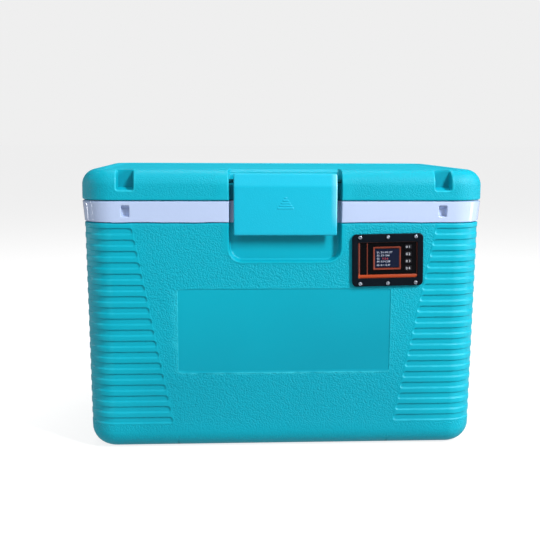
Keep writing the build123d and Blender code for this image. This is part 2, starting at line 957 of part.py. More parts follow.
with BuildPart() as lid_foam:
    add(lid_core.part)
    add(plug_hollow)
lid_foam.part.label = "lid_foam"

# ---------------------------------------------------------------------------------------------
# Latch
# ---------------------------------------------------------------------------------------------

with BuildPart() as latch_plate:
    with BuildSketch(Plane.YZ.offset(-latch_width / 2)):
        with BuildLine():
            FilletPolyline(
                (latch_front, latch_bottom),
                (latch_front, latch_bend),
                (latch_front + latch_lean, latch_top),
                radius=latch_bend_radius,
            )
            offset(amount=latch_thickness, side=Side.RIGHT)
        make_face()
    extrude(amount=latch_width)
    barrel_half = latch_width / 2 - latch_barrel_inset
    with BuildSketch(Plane.YZ.offset(-barrel_half)):
        with Locations((pivot_y, pivot_z)):
            Circle(latch_barrel_radius)
        with BuildLine():
            Polyline(
                (latch_back - latch_root, latch_bend),
                (pivot_y, pivot_z - latch_barrel_radius),
                (pivot_y, pivot_z + latch_barrel_radius),
                (latch_front + latch_lean, pivot_z + latch_barrel_radius),
                close=True,
            )
        make_face()
    extrude(amount=2 * barrel_half)
    rib_starts = (
        -latch_rib_spread / 2 - latch_rib_thickness / 2,
        latch_rib_spread / 2 - latch_rib_thickness / 2,
    )
    for rib_start in rib_starts:
        with BuildSketch(Plane.YZ.offset(rib_start)):
            with BuildLine():
                Polyline(
                    (latch_back - latch_root, latch_bottom + latch_drop),
                    (latch_back - latch_root, pivot_z),
                    (pivot_y + latch_barrel_radius / 2, pivot_z - latch_barrel_radius / 2),
                    (latch_back, latch_bottom + latch_drop),
                    close=True,
                )
            make_face()
        extrude(amount=latch_rib_thickness)
    with BuildSketch(Plane.YZ.offset(-hook_width / 2)):
        with BuildLine():
            hook_top = catch_under - hook_gap
            Polyline(
                (latch_back - latch_root, hook_top),
                (catch_front + hook_grip, hook_top),
                (catch_front + hook_grip, hook_top - hook_tip_height),
                (latch_back - latch_root, hook_top - hook_height),
                close=True,
            )
        make_face()
    extrude(amount=hook_width)
    with BuildSketch(Plane.YZ.offset(-latch_width / 2)):
        with Locations((pivot_y, pivot_z)):
            Circle(latch_pin_radius + running_gap)
    extrude(amount=latch_width, mode=Mode.SUBTRACT)
latch_plate.part.label = "latch_plate"

with BuildPart() as latch_pin:
    with BuildSketch(Plane.YZ):
        with Locations((pivot_y, pivot_z)):
            Circle(latch_pin_radius)
    extrude(amount=pocket_half + lid_wall - screw_tip_gap, both=True)
latch_pin.part.label = "latch_pin"

# ---------------------------------------------------------------------------------------------
# Hinges
# ---------------------------------------------------------------------------------------------

outer_knuckle = (hinge_width - hinge_middle_knuckle) / 2 - hinge_knuckle_gap


def leaf(x, back, direction, knuckles, name):
    """One hinge leaf: a plate on the wall, and knuckles (from, to) rolled round the pin."""
    front = back + hinge_leaf_thickness
    edge = hinge_z + direction * hinge_leaf_height
    inner = hinge_z + direction * hinge_barrel_radius
    near = hinge_z + direction * lid_gap / 2
    with BuildPart() as one_leaf:
        with BuildSketch(Plane.YZ.offset(x - hinge_width / 2)):
            with BuildLine():
                Polyline((back, inner), (front, inner), (front, edge), (back, edge), close=True)
            make_face()
        extrude(amount=hinge_width)
        for start, end in knuckles:
            with BuildSketch(Plane.YZ.offset(x + start)):
                with Locations((hinge_y, hinge_z)):
                    Circle(hinge_barrel_radius)
                with BuildLine():
                    Polyline(
                        (back, near),
                        (hinge_y, near),
                        (hinge_y, inner),
                        (front, inner + direction * hinge_leaf_thickness),
                        (back, inner + direction * hinge_leaf_thickness),
                        close=True,
                    )
                make_face()
                with Locations((hinge_y, hinge_z)):
                    Circle(hinge_pin_radius + running_gap, mode=Mode.SUBTRACT)
            extrude(amount=end - start)
    one_leaf.part.label = name
    return one_leaf.part


middle = hinge_middle_knuckle / 2
box_knuckles = [(-middle, middle)]
lid_knuckles = [
    (-hinge_width / 2, -hinge_width / 2 + outer_knuckle),
    (hinge_width / 2 - outer_knuckle, hinge_width / 2),
]
hinge_parts = []
for side, x in zip(("left", "right"), hinge_places):
    box_leaf = leaf(x, box_leaf_back, -1, box_knuckles, f"box_hinge_leaf_{side}")
    lid_leaf = leaf(x, lid_leaf_back, 1, lid_knuckles, f"lid_hinge_leaf_{side}")
    with BuildPart() as hinge_pin:
        with BuildSketch(Plane.YZ.offset(x)):
            with Locations((hinge_y, hinge_z)):
                Circle(hinge_pin_radius)
        extrude(amount=hinge_width / 2, both=True)
    hinge_pin.part.label = f"hinge_pin_{side}"
    hinge_parts += [box_leaf, lid_leaf, hinge_pin.part]

# ---------------------------------------------------------------------------------------------
# Files, one for each piece
# ---------------------------------------------------------------------------------------------

pieces = [
    outer_shell.part,
    inner_liner.part,
    box_foam.part,
    bezel_seal.part,
    display_bezel.part,
    bezel_screws.part,
    recorder_case.part,
    recorder_face.part,
    lcd_frame.part,
    lcd_screen.part,
    key_switches.part,
    circuit_board.part,
    battery.part,
    temperature_probe.part,
    probe_grommet.part,
    lid_shell.part,
    lid_liner.part,
    lid_gasket.part,
    lid_foam.part,
    latch_plate.part,
    latch_pin.part,
    *hinge_parts,
    *buttons,
]
os.makedirs("parts", exist_ok=True)
for piece in pieces:
    export_step(piece, f"parts/{piece.label}.step")
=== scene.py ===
"""Vaccine carrier: a teal cold box with a white rim, a wide front latch and a recorder."""
from math import cos, pi, radians, sin, tan
import bpy
import numpy as np
from mathutils import Matrix, Vector


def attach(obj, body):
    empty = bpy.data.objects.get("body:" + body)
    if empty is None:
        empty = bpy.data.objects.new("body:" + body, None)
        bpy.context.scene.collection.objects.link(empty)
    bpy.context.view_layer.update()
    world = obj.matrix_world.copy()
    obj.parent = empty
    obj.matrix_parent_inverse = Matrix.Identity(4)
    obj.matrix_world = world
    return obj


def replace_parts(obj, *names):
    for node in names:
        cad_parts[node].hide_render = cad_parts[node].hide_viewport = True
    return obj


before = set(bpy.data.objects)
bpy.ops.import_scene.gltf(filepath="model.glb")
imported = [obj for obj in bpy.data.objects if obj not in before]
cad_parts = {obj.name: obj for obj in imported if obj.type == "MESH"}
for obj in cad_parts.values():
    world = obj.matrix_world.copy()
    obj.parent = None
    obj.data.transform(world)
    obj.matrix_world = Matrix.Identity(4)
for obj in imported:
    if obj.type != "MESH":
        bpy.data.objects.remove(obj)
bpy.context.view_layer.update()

# ---------------------------------------------------------------------------------------------
# Body shell: one rotationally moulded tub of teal polyethylene, leather-grained and foam-filled.
# Rounded grooves stiffen the four corners. The label panel, the latch pocket and the hand grips
# are moulded in. Lengths in this file are in millimetres; a mesh is written in metres.
# ---------------------------------------------------------------------------------------------


def rise(x):
    """Smooth step: 0 up to x = 0, three x squared less two x cubed, and 1 from x = 1."""
    x = np.clip(x, 0.0, 1.0)
    return x * x * (3.0 - 2.0 * x)


def inside(a, b, half_a, half_b, corner):
    """How far a point lies inside a rounded rectangle: its corner radius less the distance
    from the point to the rectangle's core, which is negative outside."""
    over_a = np.abs(a) - half_a + corner
    over_b = np.abs(b) - half_b + corner
    out = np.hypot(np.maximum(over_a, 0), np.maximum(over_b, 0))
    return corner - out - np.minimum(np.maximum(over_a, over_b), 0)


def recess(s, depth, run, rim, foot):
    """Depth of a sunk panel at s inside its outline: a quarter circle over the rim, a wall
    that falls over the run, and a quarter circle at the foot."""
    over = rim - np.sqrt(rim**2 - np.clip(s + rim, 0, rim) ** 2)
    wall = np.clip(s / run, 0, 1) * np.maximum(depth - rim - foot, 0)
    floor = np.sqrt(foot**2 - (foot - np.clip(s - run, 0, foot)) ** 2)
    return np.minimum(over + wall + floor, depth)


def spread(knots, counts):
    """Places evenly spaced from each knot to the next. The last axis runs along the line."""
    knots = np.asarray(knots, float)
    parts = [
        knots[..., i, None] + np.diff(knots, axis=-1)[..., i, None] * np.arange(n) / n
        for i, n in enumerate(counts)
    ]
    return np.concatenate(parts + [knots[..., -1:]], axis=-1)


def wall_columns(core, front, side, back, steps):
    """Columns once round a rounded rectangle, anticlockwise from the front's left end. Each has
    its foot on the core rectangle, a place along its own wall, its wall's number and the angle
    of its outward normal, which turns by a quarter over the steps of each corner."""
    lines = [(front, -core[1]), (core[0], side), (-back, core[1]), (-core[0], -side)]
    feet_x, feet_y, along, wall, angle = [], [], [], [], []
    for number, (x, y) in enumerate(lines):
        x, y = np.broadcast_arrays(x, y)
        spots = (front, side, back, side)[number]
        bend = radians(90) * np.arange(1, steps) / steps
        repeat = np.ones((1, steps - 1))
        feet_x += [x, x[:, -1:] * repeat]
        feet_y += [y, y[:, -1:] * repeat]
        along += [spots, spots[:, -1:] * repeat]
        wall += [np.full(x.shape[1], number), np.full(steps - 1, -1)]
        facing = radians(90) * (number - 1)
        angle += [np.full(x.shape[1], facing), facing + bend]
    grids = [np.concatenate(part, axis=1) for part in (feet_x, feet_y, along)]
    return grids + [np.concatenate(wall), np.concatenate(angle)]


def ring_points(columns, radius, z, share=(1.0, 1.0)):
    """Points of a wall: the foot on the core rectangle, drawn in by a share each way, plus the
    radius along the normal, at the row's height."""
    foot_x, foot_y, _, _, angle = columns
    x = foot_x * share[0] + radius * np.cos(angle)
    y = foot_y * share[1] + radius * np.sin(angle)
    return np.stack([x, y, np.broadcast_to(z, x.shape)], axis=-1)


floor_shares = np.array([0.2, 0.6, 0.9])[:, None, None]


def drawn_in(ring, shares):
    """Rings across a flat floor or top: x and y of its outer ring times each share."""
    return ring * (shares + (1 - shares) * np.array([0.0, 0.0, 1.0]))


def both_sides(right):
    """Places on both sides of a wall's middle: those to the right of it, mirrored."""
    return np.concatenate([-right[..., :0:-1], right], axis=-1)


def grid_faces(rows, columns):
    """Four-sided faces between neighbouring rows and columns of a grid that closes on itself,
    with a fan from the first and the last row to one point each."""
    index = np.arange(rows * columns).reshape(rows, columns)
    after = np.roll(index, -1, axis=1)
    faces = np.stack([index[:-1], after[:-1], after[1:], index[1:]], -1).reshape(-1, 4).tolist()
    low = np.full(columns, rows * columns)
    faces += np.stack([low, after[0], index[0]], -1).tolist()
    faces += np.stack([index[-1], after[-1], low + 1], -1).tolist()
    return faces


millimetre = 0.001


def make_piece(name, body, finish, points, faces, marks=None, sharp=None):
    """Object of a mesh in place, smooth but for edges sharper than an angle in degrees."""
    mesh = bpy.data.meshes.new(name)
    mesh.from_pydata(points.reshape(-1, 3) * millimetre, [], faces)
    mesh.shade_smooth()
    if sharp:
        mesh.set_sharp_from_angle(angle=radians(sharp))
    for mark, values in (marks or {}).items():
        layer = mesh.attributes.new(mark, "FLOAT", "POINT")
        layer.data.foreach_set("value", np.ravel(values).astype(np.float32))
    mesh.materials.append(finish)
    piece = bpy.data.objects.new(name, mesh)
    bpy.context.scene.collection.objects.link(piece)
    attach(piece, body)
    return piece


def ring_piece(name, body, finish, points, marks=None, sharp=None):
    """Closed piece over rows that go once round, its two ends closed at their middles."""
    rows, columns, _ = points.shape
    ends = np.stack([points[0].mean(axis=0), points[-1].mean(axis=0)])
    marks = {
        mark: np.concatenate([np.ravel(v), [v[0].mean(), v[-1].mean()]])
        for mark, v in (marks or {}).items()
    }
    everything = np.concatenate([points.reshape(-1, 3), ends])
    return make_piece(
        name, body, finish, everything, grid_faces(rows, columns), marks, sharp
    )


class Field:
    """A value that varies over a surface. Sums and products of fields add Math nodes."""

    def __init__(self, finish, socket):
        self.finish = finish
        self.socket = socket

    def maths(self, operation, first, second):
        return self.finish.node("ShaderNodeMath", {"operation": operation}, {0: first, 1: second})

    def __add__(self, other):
        return self.maths("ADD", self, other)

    __radd__ = __add__

    def __sub__(self, other):
        return self.maths("SUBTRACT", self, other)

    def __rsub__(self, other):
        return self.maths("SUBTRACT", other, self)

    def __mul__(self, other):
        return self.maths("MULTIPLY", self, other)

    __rmul__ = __mul__


class Finish:
    """A surface finish under construction: a material and its node tree."""

    def __init__(self, name, colour, roughness, **constants):
        self.material = bpy.data.materials.new(name)
        self.material.use_nodes = True
        self.tree = self.material.node_tree
        self.shader = self.tree.nodes["Principled BSDF"]
        self.put(self.shader.inputs["Base Color"], (*colour, 1.0))
        self.put(self.shader.inputs["Roughness"], roughness)
        for socket, value in constants.items():
            self.put(self.shader.inputs[socket.replace("_", " ")], value)

    def put(self, socket, value):
        """Sets a socket to a number or colour, or links a field to it."""
        if isinstance(value, Field):
            self.tree.links.new(value.socket, socket)
        else:
            socket.default_value = value

    def node(self, kind, settings, sockets, output=0):
        """A node of any kind: its settings first, then its sockets' values or links."""
        node = self.tree.nodes.new(kind)
        for setting, value in settings.items():
            if setting == "stops":
                ramp = node.color_ramp
                ramp.elements[0].position, ramp.elements[1].position = value
            else:
                setattr(node, setting, value)
        for socket, value in sockets.items():
            self.put(node.inputs[socket], value)
        return Field(self, node.outputs[output])

    def mark(self, name):
        """The value of one of the mesh's own attributes."""
        return self.node("ShaderNodeAttribute", {"attribute_name": name}, {}, "Fac")

    def place(self):
        """Where a point is on the object, in metres."""
        return self.node("ShaderNodeTexCoord", {}, {}, "Object")

    def noise(self, scale, detail=2.0):
        """Soft noise between 0 and 1 with so many waves to the metre."""
        sockets = {"Vector": self.place(), "Scale": scale, "Detail": detail}
        return self.node("ShaderNodeTexNoise", {}, sockets)

    def pebbles(self, scale):
        """Distance to the nearest of many scattered points, for a leather grain."""
        settings = {"feature": "SMOOTH_F1"}
        return self.node("ShaderNodeTexVoronoi", settings, {"Vector": self.place(), "Scale": scale})

    def ramp(self, value, low, high):
        """0 below low, 1 above high, straight between."""
        return self.node("ShaderNodeValToRGB", {"stops": (low, high)}, {"Fac": value})

    def mix(self, factor, first, second):
        """Mix of two colours."""
        colours = [c if isinstance(c, Field) else (*c, 1.0) for c in (first, second)]
        sockets = {0: factor, 6: colours[0], 7: colours[1]}
        return self.node("ShaderNodeMix", {"data_type": "RGBA"}, sockets, 2)

    def colour(self, value):
        self.put(self.shader.inputs["Base Color"], value)

    def roughness(self, value):
        self.put(self.shader.inputs["Roughness"], value)

    def bump(self, height, distance, strength=1.0):
        """Small relief, its height in metres times the distance."""
        sockets = {"Height": height, "Distance": distance, "Strength": strength}
        self.put(self.shader.inputs["Normal"], self.node("ShaderNodeBump", {}, sockets))


teal = (0.0, 0.34, 0.45)
deep_teal = (0.0, 0.25, 0.34)
wear_and_highlight_teal = (0.03, 0.50, 0.62)


def teal_moulding(name, pebble_size, depth):
    """Grained teal polyethylene: pebbles of two sizes, cloudy colour, paler on worn edges and on
    painted highlights, and darker where shade is painted.
    """
    finish = Finish(name, teal, 0.42, Specular_IOR_Level=0.15)
    clouds = finish.noise(7.0, 3.0)
    specks = finish.noise(900.0, 1.0)
    grain = finish.mark("grain")
    # Paler where the mark says: real wear on rubbed corners, and painted highlights on rims and
    # groove lips.
    pale = finish.mark("wear") * finish.ramp(finish.noise(60.0, 4.0), 0.35, 0.65)
    # Darker where the mark says: painted shade, and a darker tone over the label.
    shade = finish.mix(clouds * 0.35 + finish.mark("deep"), teal, deep_teal)
    pebble = finish.pebbles(1.0 / pebble_size) + 0.45 * finish.noise(1.4 / pebble_size, 1.0)
    valleys = finish.ramp(pebble, 0.55, 1.05)
    shade = finish.mix(valleys * grain * 0.35, shade, deep_teal)
    finish.colour(finish.mix(pale * 0.5, shade, wear_and_highlight_teal))
    finish.roughness(0.36 + 0.12 * grain + 0.06 * clouds + 0.3 * finish.mark("matt"))
    finish.bump(0.06 * specks - pebble * grain, depth)
    return finish.material


core = (252.0, 152.0)  # half length and width between the middles of the corners
body_top = 344.0
top_corner = 45.0
wall_slope = tan(radians(0.94))
floor_round = 32.0
wall = 4.5
front_half = core[0] + top_corner
side_half = core[1] + top_corner
groove_first = 336.6  # height of the top groove
groove_drop = 285.6  # from it down to the lowest
groove_pitch = 16.8
groove_count = 18
groove_half = 4.5
groove_depth = 1.9  # on the front; less round the corners and on the sides
groove_length = 72.5  # of the top groove on each wall
groove_slant = 56.0  # how much longer the lowest is
pocket_half = 83.0  # of the latch pocket
pocket_drop = 57.0
pocket_corner = 20.0
pocket_floor = 184.0  # in front of the middle of the box
label_height = 182.0
label_half = (159.0, 63.75)
label_corner = 3.0
label_depth = 1.0
grip_height = 298.5
grip_half = (55.0, 19.5)
grip_corner = 7.0
grip_depth = 24.0
grip_mouth = 9.0
grip_raise = 12.0
seam_depth = 3.2
seam_foot = 342.6


def wall_radius(z):
    """Corner radius of the drafted wall at a height; at the floor's round it turns under."""
    lift = np.clip(floor_round - z, 0, floor_round)
    drafted = top_corner - (body_top - np.maximum(z, floor_round)) * wall_slope
    return drafted - floor_round + np.sqrt(floor_round**2 - lift**2)


def groove_end(z, half):
    """Where the grooves end on a wall of a given half length, which slants with the height."""
    return half - groove_length - groove_slant * (groove_first - z) / groove_drop


def groove_reach(away, z):
    """Distance from the middle line of the nearest groove, which ends in a half circle, and
    height above it. away is the distance outwards from the groove's end."""
    row = np.clip(np.floor((groove_first + 4.0 - z) / groove_pitch), 0, groove_count - 1)
    above = z - (groove_first - groove_half - groove_pitch * row)
    reach = np.hypot(np.maximum(groove_half - away, 0), above)
    return np.maximum(reach, 1e-6), above


def groove_sink(away, z):
    """Share of the grooves' full depth: a sharp edge of half a millimetre at the top, a slope
    from 3.5 to 5.8 mm off the middle line at the foot, and a smooth change between them."""
    reach, above = groove_reach(away, z)
    upper = rise((groove_half - reach) / 0.5)
    lower = 1 - rise((reach - 3.5) / 2.3)
    turn = rise(0.75 - 1.3 * above / reach)
    return upper * (1 - turn) + lower * turn


def in_label(along, z):
    """How far a point of the front lies inside the label panel."""
    return inside(along, z - label_height, *label_half, label_corner)


def in_pocket(along, z):
    """How far a point of the front lies inside the latch pocket, which is open at the top."""
    return inside(along, z - body_top, pocket_half, pocket_drop, pocket_corner)


def body_sink(along, wall_number, z, trim):
    """How far each point of the body's wall lies behind the plain drafted wall. The label and
    the step under the rim are there on the outside only, where trim is 1."""
    front = wall_number == 0
    ends = (wall_number == 1) | (wall_number == 3)
    plain = core[1] + wall_radius(z)
    pocket = recess(in_pocket(along, z), plain - pocket_floor, run=1.6, rim=1.8, foot=1.8)
    label = recess(in_label(along, z), label_depth, run=0.3, rim=0.4, foot=0.3)
    grip_in = inside(along, z - grip_height, *grip_half, grip_corner)
    grip = recess(grip_in, grip_depth, run=1.6, rim=2.0, foot=4.0)
    sink = np.where(front, pocket + label * trim, 0) + np.where(ends, grip, 0)
    seam = seam_depth * rise((z - seam_foot) / 1.3)
    return sink + np.where(sink < 3, seam, 0) * trim


def grip_lift(wall_number, sink):
    """How far the grips behind their mouth are moved up, so that fingers hook behind the wall:
    a smooth step over the depth."""
    depth = np.where(wall_number % 2 == 1, sink, 0)
    return grip_raise * rise((depth - grip_mouth) / (grip_depth - grip_mouth))


def seam_wave(along):
    """How far the joint between body and band wanders up and down: the sum of two sine waves."""
    return 0.32 * np.sin(along / 19.0) + 0.22 * np.sin(along / 8.7 + 1.0)


def wall_places(z, half, knots, counts):
    """Places along a wall for rows at heights z, evenly spaced from each knot to the next. The
    last knots follow the slanting ends of the grooves, and the corner's start."""
    end = groove_end(z, half)
    knots = [np.full_like(z, knot) for knot in knots]
    knots += [end - 1.5, end + 7.0, np.full_like(z, half - top_corner)]
    return both_sides(spread(np.concatenate(knots, axis=1), counts))


def body_columns(levels):
    """Columns of the body for rows at these heights, closer together where a wall has detail."""
    z = levels[:, None]
    front_knots = (0, 62, 79.4, 85.4, 157.8, 160.2)
    front = wall_places(z, front_half, front_knots, (4, 7, 11, 7, 6, 3, 10, 4))
    side = wall_places(z, side_half, (0, 47, 57.5), (3, 9, 2, 10, 3))
    back = wall_places(z, front_half, (0,), (4, 10, 3))
    return wall_columns(core, front, side, back, steps=14)


# Rows at each groove, at the label's and grips' edges, the pocket's foot and the top edge.
groove_rows = np.array([-0.6, -0.15, 0.12, 0.5, 1.2, 3.6, 7.4, 8.1, 8.7, 9.3, 9.9, 10.5, 12.6])
levels = groove_first - groove_pitch * np.arange(groove_count)[:, None] - groove_rows
edge_rows = [118.0, 118.4, 118.9, 245.1, 245.6, 246.0, 277.3, 278.3, 279.0, 280.0, 281.2]
edge_rows += [283.6, 285.2, 285.9, 286.4, 286.8, 287.1, 287.6, 288.1, 288.7, 289.6, 290.5]
edge_rows += [315.8, 317.0, 317.9, 318.6, 319.8, 340.2, 342.4, 343.0, 343.5, 343.9, 344.0]
levels = np.unique(np.concatenate([levels.ravel(), edge_rows]))
levels = levels[np.append(np.diff(levels) > 0.14, True)]
bend = radians(90) * np.arange(9) / 9
outer_levels = np.concatenate([floor_round * (1 - np.cos(bend)), levels])
columns = body_columns(outer_levels)
_, _, along, wall_number, angle = columns
z = outer_levels[:, None]
half = np.where((wall_number == 1) | (wall_number == 3), side_half, front_half)
away = np.where(wall_number < 0, 99.0, np.abs(along) - groove_end(z, half))
# The grooves are shallower round the corners and on the sides. No relief reaches the floor's round.
front_share = 0.4 + 0.6 * rise(1.4 * np.abs(np.sin(angle)) - 0.2)
grooves = groove_depth * front_share * groove_sink(away, z)
sink = body_sink(along, wall_number, z, 1.0)
outer = ring_points(columns, wall_radius(z) - (sink + grooves) * rise((z - 20) / 14), z)
outer[..., 2] += grip_lift(wall_number, sink)
outer[..., 2] += seam_wave(along) * rise((z - 338.0) / 6.0)

inner_levels = np.concatenate([np.linspace(body_top, 120, 40), np.linspace(112, 36.5, 6)])
inner_levels = np.concatenate([inner_levels, wall + floor_round * (1 - np.cos(bend[::-2]))])
inner_columns = body_columns(inner_levels)
z_inner = inner_levels[:, None]
inner_sink = body_sink(inner_columns[2], inner_columns[3], z_inner, 0.0)
under = wall * (1 - rise((z_inner - wall) / floor_round))
inner_radius = wall_radius(z_inner - under) - wall - inner_sink
inner = ring_points(inner_columns, np.maximum(inner_radius, 2.0), z_inner)
inner[..., 2] += grip_lift(inner_columns[3], inner_sink)
under_floor = drawn_in(outer[:1], floor_shares)
over_floor = drawn_in(inner[-1:], floor_shares[::-1])
body_points = np.concatenate([under_floor, outer, inner, over_floor])

# The grain stops at the grooves, the label and the pocket. The rounded corners are paler from wear.
# The label's rim, most at its lower and left sides, and the grooves' lower lips, weaker on the
# front's left half, are painted paler as highlights. The label is darker throughout, with painted
# shade growing towards its lower left, and painted shade darkens the foot of the front.
front = wall_number == 0
label_in = in_label(along, z)
bare = rise((np.abs(along) - groove_end(z, half) + 3.0) / 4.0)
bare = np.where(wall_number < 0, 1.0, bare) * rise((z - 38.0) / 4.0)
bare = np.maximum(bare, np.where(front, rise(label_in + 1.0), 0))
bare = np.maximum(bare, np.where(front, rise((in_pocket(along, z) + 5.0) / 3.0), 0))
grain = (1 - bare) * (0.35 + 0.65 * rise((z - 30.0) / 12.0)) * rise((z - 4.0) / 12.0)
# Painted highlight: the label's rim is painted paler, most along its lower and left sides.
at_bottom = rise((label_height - label_half[1] + 2.75 - z) / 3.0)
at_left = rise((2.0 - label_half[0] - along) / 3.0)
rim_wear_and_highlight = (0.4 + 1.6 * np.maximum(at_bottom, at_left)) * np.exp(-(((label_in + 0.5) / 0.8) ** 2))
wear = np.where(front, rim_wear_and_highlight, np.where(wall_number < 0, 0.25, 0))
# Painted highlight: a pale line along each groove's lower lip, where it catches the light.
reach, above = groove_reach(away, z)
lip_highlight = np.exp(-(((reach - 5.2) / 0.7) ** 2)) * (above < 0) * (away > -1.5)
wear = np.maximum(wear, 0.9 * lip_highlight * np.where((wall_number < 0) | (along > 0), 1.0, 0.3))
# Painted shade: the label is darker throughout and painted darker still towards its lower left, and
# the front is painted darker towards its foot.
panel = rise((label_in + 0.2) / 0.4)
label_tone_and_shade = 0.5 + 0.27 * (label_height - z) / label_half[1] + 0.22 * along / label_half[0]
foot_shade = 0.4 * rise((195.0 - z) / 110.0) * rise((z - 12.0) / 20.0)
foot_shade = foot_shade * rise((core[0] - np.abs(along)) / 60.0)
deep = np.where(front, label_tone_and_shade * panel + foot_shade * (1 - panel), 0)


def body_mark(values):
    """A mark on the outside of the body, none on its underside and its inside."""
    around = ((len(floor_shares), len(inner_levels) + len(floor_shares)), (0, 0))
    return np.pad(np.broadcast_to(values, outer.shape[:2]), around)


body_marks = {"grain": body_mark(grain), "wear": body_mark(wear), "deep": body_mark(deep)}
body_teal = teal_moulding("body_teal", 0.0021, 0.0010)
body_shell = ring_piece("body_shell", "box", body_teal, body_points, body_marks)
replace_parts(body_shell, "outer_shell")

# ---------------------------------------------------------------------------------------------
# White rim and chamber: one white polyethylene moulding that makes the band under the lid, the
# rim that the gasket presses on, and the chamber. The latch slot and two notches are moulded in.
# ---------------------------------------------------------------------------------------------
white = (0.405, 0.495, 0.70)
cool_white = (0.375, 0.465, 0.67)


def white_moulding(name):
    """Smooth white polyethylene with a blue cast, faintly cloudy and softly glossy."""
    finish = Finish(name, white, 0.24)
    clouds = finish.noise(9.0, 3.0)
    finish.colour(finish.mix(clouds * 0.5, white, cool_white))
    finish.roughness(0.08 + 0.10 * finish.noise(30.0, 3.0))
    finish.bump(finish.noise(260.0, 2.0) + 2.5 * finish.noise(24.0, 1.0), 0.00012)
    return finish.material


rim_top = 376.0
rim_flare = 3.0
notch_middle = 233.5  # of the band's and the lid's notches, each side of the middle
notch_height = 361.25
notch_half = (6.0, 8.25)
notch_floor = 190.5
hinge_middle = 190.0
leaf_half = 28.2
leaf_foot = 352.3
leaf_floor = 197.4
chamber_core = (231.5, 131.5)
chamber_corner = 22.0
chamber_floor = 43.5
chamber_round = 12.0
chamber_wall = 3.0


def band_sink(along, wall_number, z, plain):
    """How far the band's wall lies in at the latch slot, the notches and the hinge seats."""
    slot_in = pocket_half - np.abs(along)
    slot = recess(slot_in, plain - pocket_floor, run=1.2, rim=1.8, foot=2.0)
    notch_in = inside(np.abs(along) - notch_middle, z - notch_height, *notch_half, 2.0)
    notch = recess(notch_in, plain - notch_floor, run=0.8, rim=1.2, foot=1.0)
    leaf_in = np.minimum(leaf_half - np.abs(np.abs(along) - hinge_middle), z - leaf_foot)
    leaf = recess(leaf_in, np.maximum(plain - leaf_floor, 0.8), run=0.4, rim=0.3, foot=0.3)
    in_back = np.where(wall_number == 2, leaf, 0)
    return np.where(wall_number == 0, np.maximum(slot, notch), in_back)


def band_radius(z):
    """Corner radius of the band, which flares upwards and rounds over at its two edges."""
    flare = top_corner + rim_flare * (z - body_top) / (rim_top - body_top)
    foot = seam_depth * (1 - rise((z - body_top) / 1.4))
    return flare - foot - rim_flare * rise((z - rim_top + 2.0) / 2.0)


def band_rows(columns, z, thickness):
    """Rows of the band's wall, a thickness behind its outside."""
    radius = band_radius(z)
    sink = band_sink(columns[2], columns[3], z, core[1] + radius)
    return ring_points(columns, radius - sink - thickness, z)


band_levels = [344, 344.3, 344.7, 345.4, 348, 350.6, 351.7, 352.2, 352.6, 353.2, 354.2, 356, 360]
band_levels += [364, 367.4, 368.4, 369.2, 369.8, 370.6, 372, 374, 374.7, 375.2, 375.6, 376]
front_knots = [0, 77.5, 85, 224.5, 229, 238, 242.5, core[0]]
front = both_sides(spread(front_knots, (4, 12, 6, 9, 2, 9, 3)))[None, :]
back = both_sides(spread([0, 160.6, 163, 217, 219.4, core[0]], (4, 6, 4, 6, 4)))[None, :]
side = spread([-core[1], 0, core[1]], (5, 5))[None, :]
columns = wall_columns(core, front, side, back, steps=18)
z = np.array(band_levels)[:, None]
band_out = band_rows(columns, z, 0.0)
band_out[..., 2] += seam_wave(columns[2]) * (1 - rise((z - body_top) / 6.0))
band_in = band_rows(columns, np.array([371.0, 360.0, 350.0, 344.0])[:, None], 4.0)


def chamber_rows(levels, grow):
    """Rows of the chamber's wall, which narrows by a degree and rounds into its floor. It is
    grown by its thickness for the side that faces the foam."""
    z = np.asarray(levels, float)[:, None]
    turn = chamber_round + grow
    floor = chamber_floor - grow
    lift = np.clip(floor + turn - z, 0, turn)
    drafted = chamber_corner + grow - (rim_top - np.maximum(z, floor + turn)) * tan(radians(1.0))
    radius = drafted - turn + np.sqrt(turn**2 - lift**2)
    return ring_points(columns, radius, z, np.array(chamber_core) / core)


turn = 1 - np.cos(radians(90) * np.arange(7) / 7)
straight = chamber_floor + chamber_round
inside_levels = [chamber_floor + chamber_round * turn, spread([straight, 372, 374.4], (8, 1))]
chamber_in = chamber_rows(np.concatenate(inside_levels), 0.0)
rim_lip = chamber_rows([375.6, rim_top], 0.0)
rim_lip[..., :2] *= np.array([1.0012, 1.006])[:, None, None]
outside_levels = chamber_floor - chamber_wall + (chamber_round + chamber_wall) * turn
outside_levels = np.concatenate([outside_levels, spread([straight, 371], (8,))])
chamber_out = chamber_rows(outside_levels[::-1], chamber_wall)
rim_rows = [drawn_in(chamber_in[:1], floor_shares), chamber_in, rim_lip, band_out[::-1]]
rim_rows += [band_in[::-1], chamber_out, drawn_in(chamber_out[-1:], floor_shares[::-1])]
rim_points = np.concatenate(rim_rows)
rim_white = white_moulding("rim_white")
rim_piece = ring_piece("rim_and_chamber", "box", rim_white, rim_points, sharp=50)
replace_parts(rim_piece, "inner_liner")


def carried(profile, start, end, round_off):
    """Closed bar along X: rows of one outline, drawn in at both ends over a quarter circle."""
    outline = np.asarray(profile, float)
    middle = outline.mean(axis=0)
    step = radians(90) * np.arange(5) / 4
    inset = round_off * (1 - np.sin(step))
    inset = np.concatenate([inset, inset[::-1]])
    ahead = round_off * (1 - np.cos(step))
    places = np.concatenate([start + ahead, end - ahead[::-1]])
    span = np.hypot(*(outline - middle).T).mean()
    share = (1 - inset / span)[:, None]
    y = middle[0] + (outline[:, 0] - middle[0]) * share
    z = middle[1] + (outline[:, 1] - middle[1]) * share
    x = np.broadcast_to(places[:, None], y.shape)
    return np.stack([x, y, z], axis=-1)


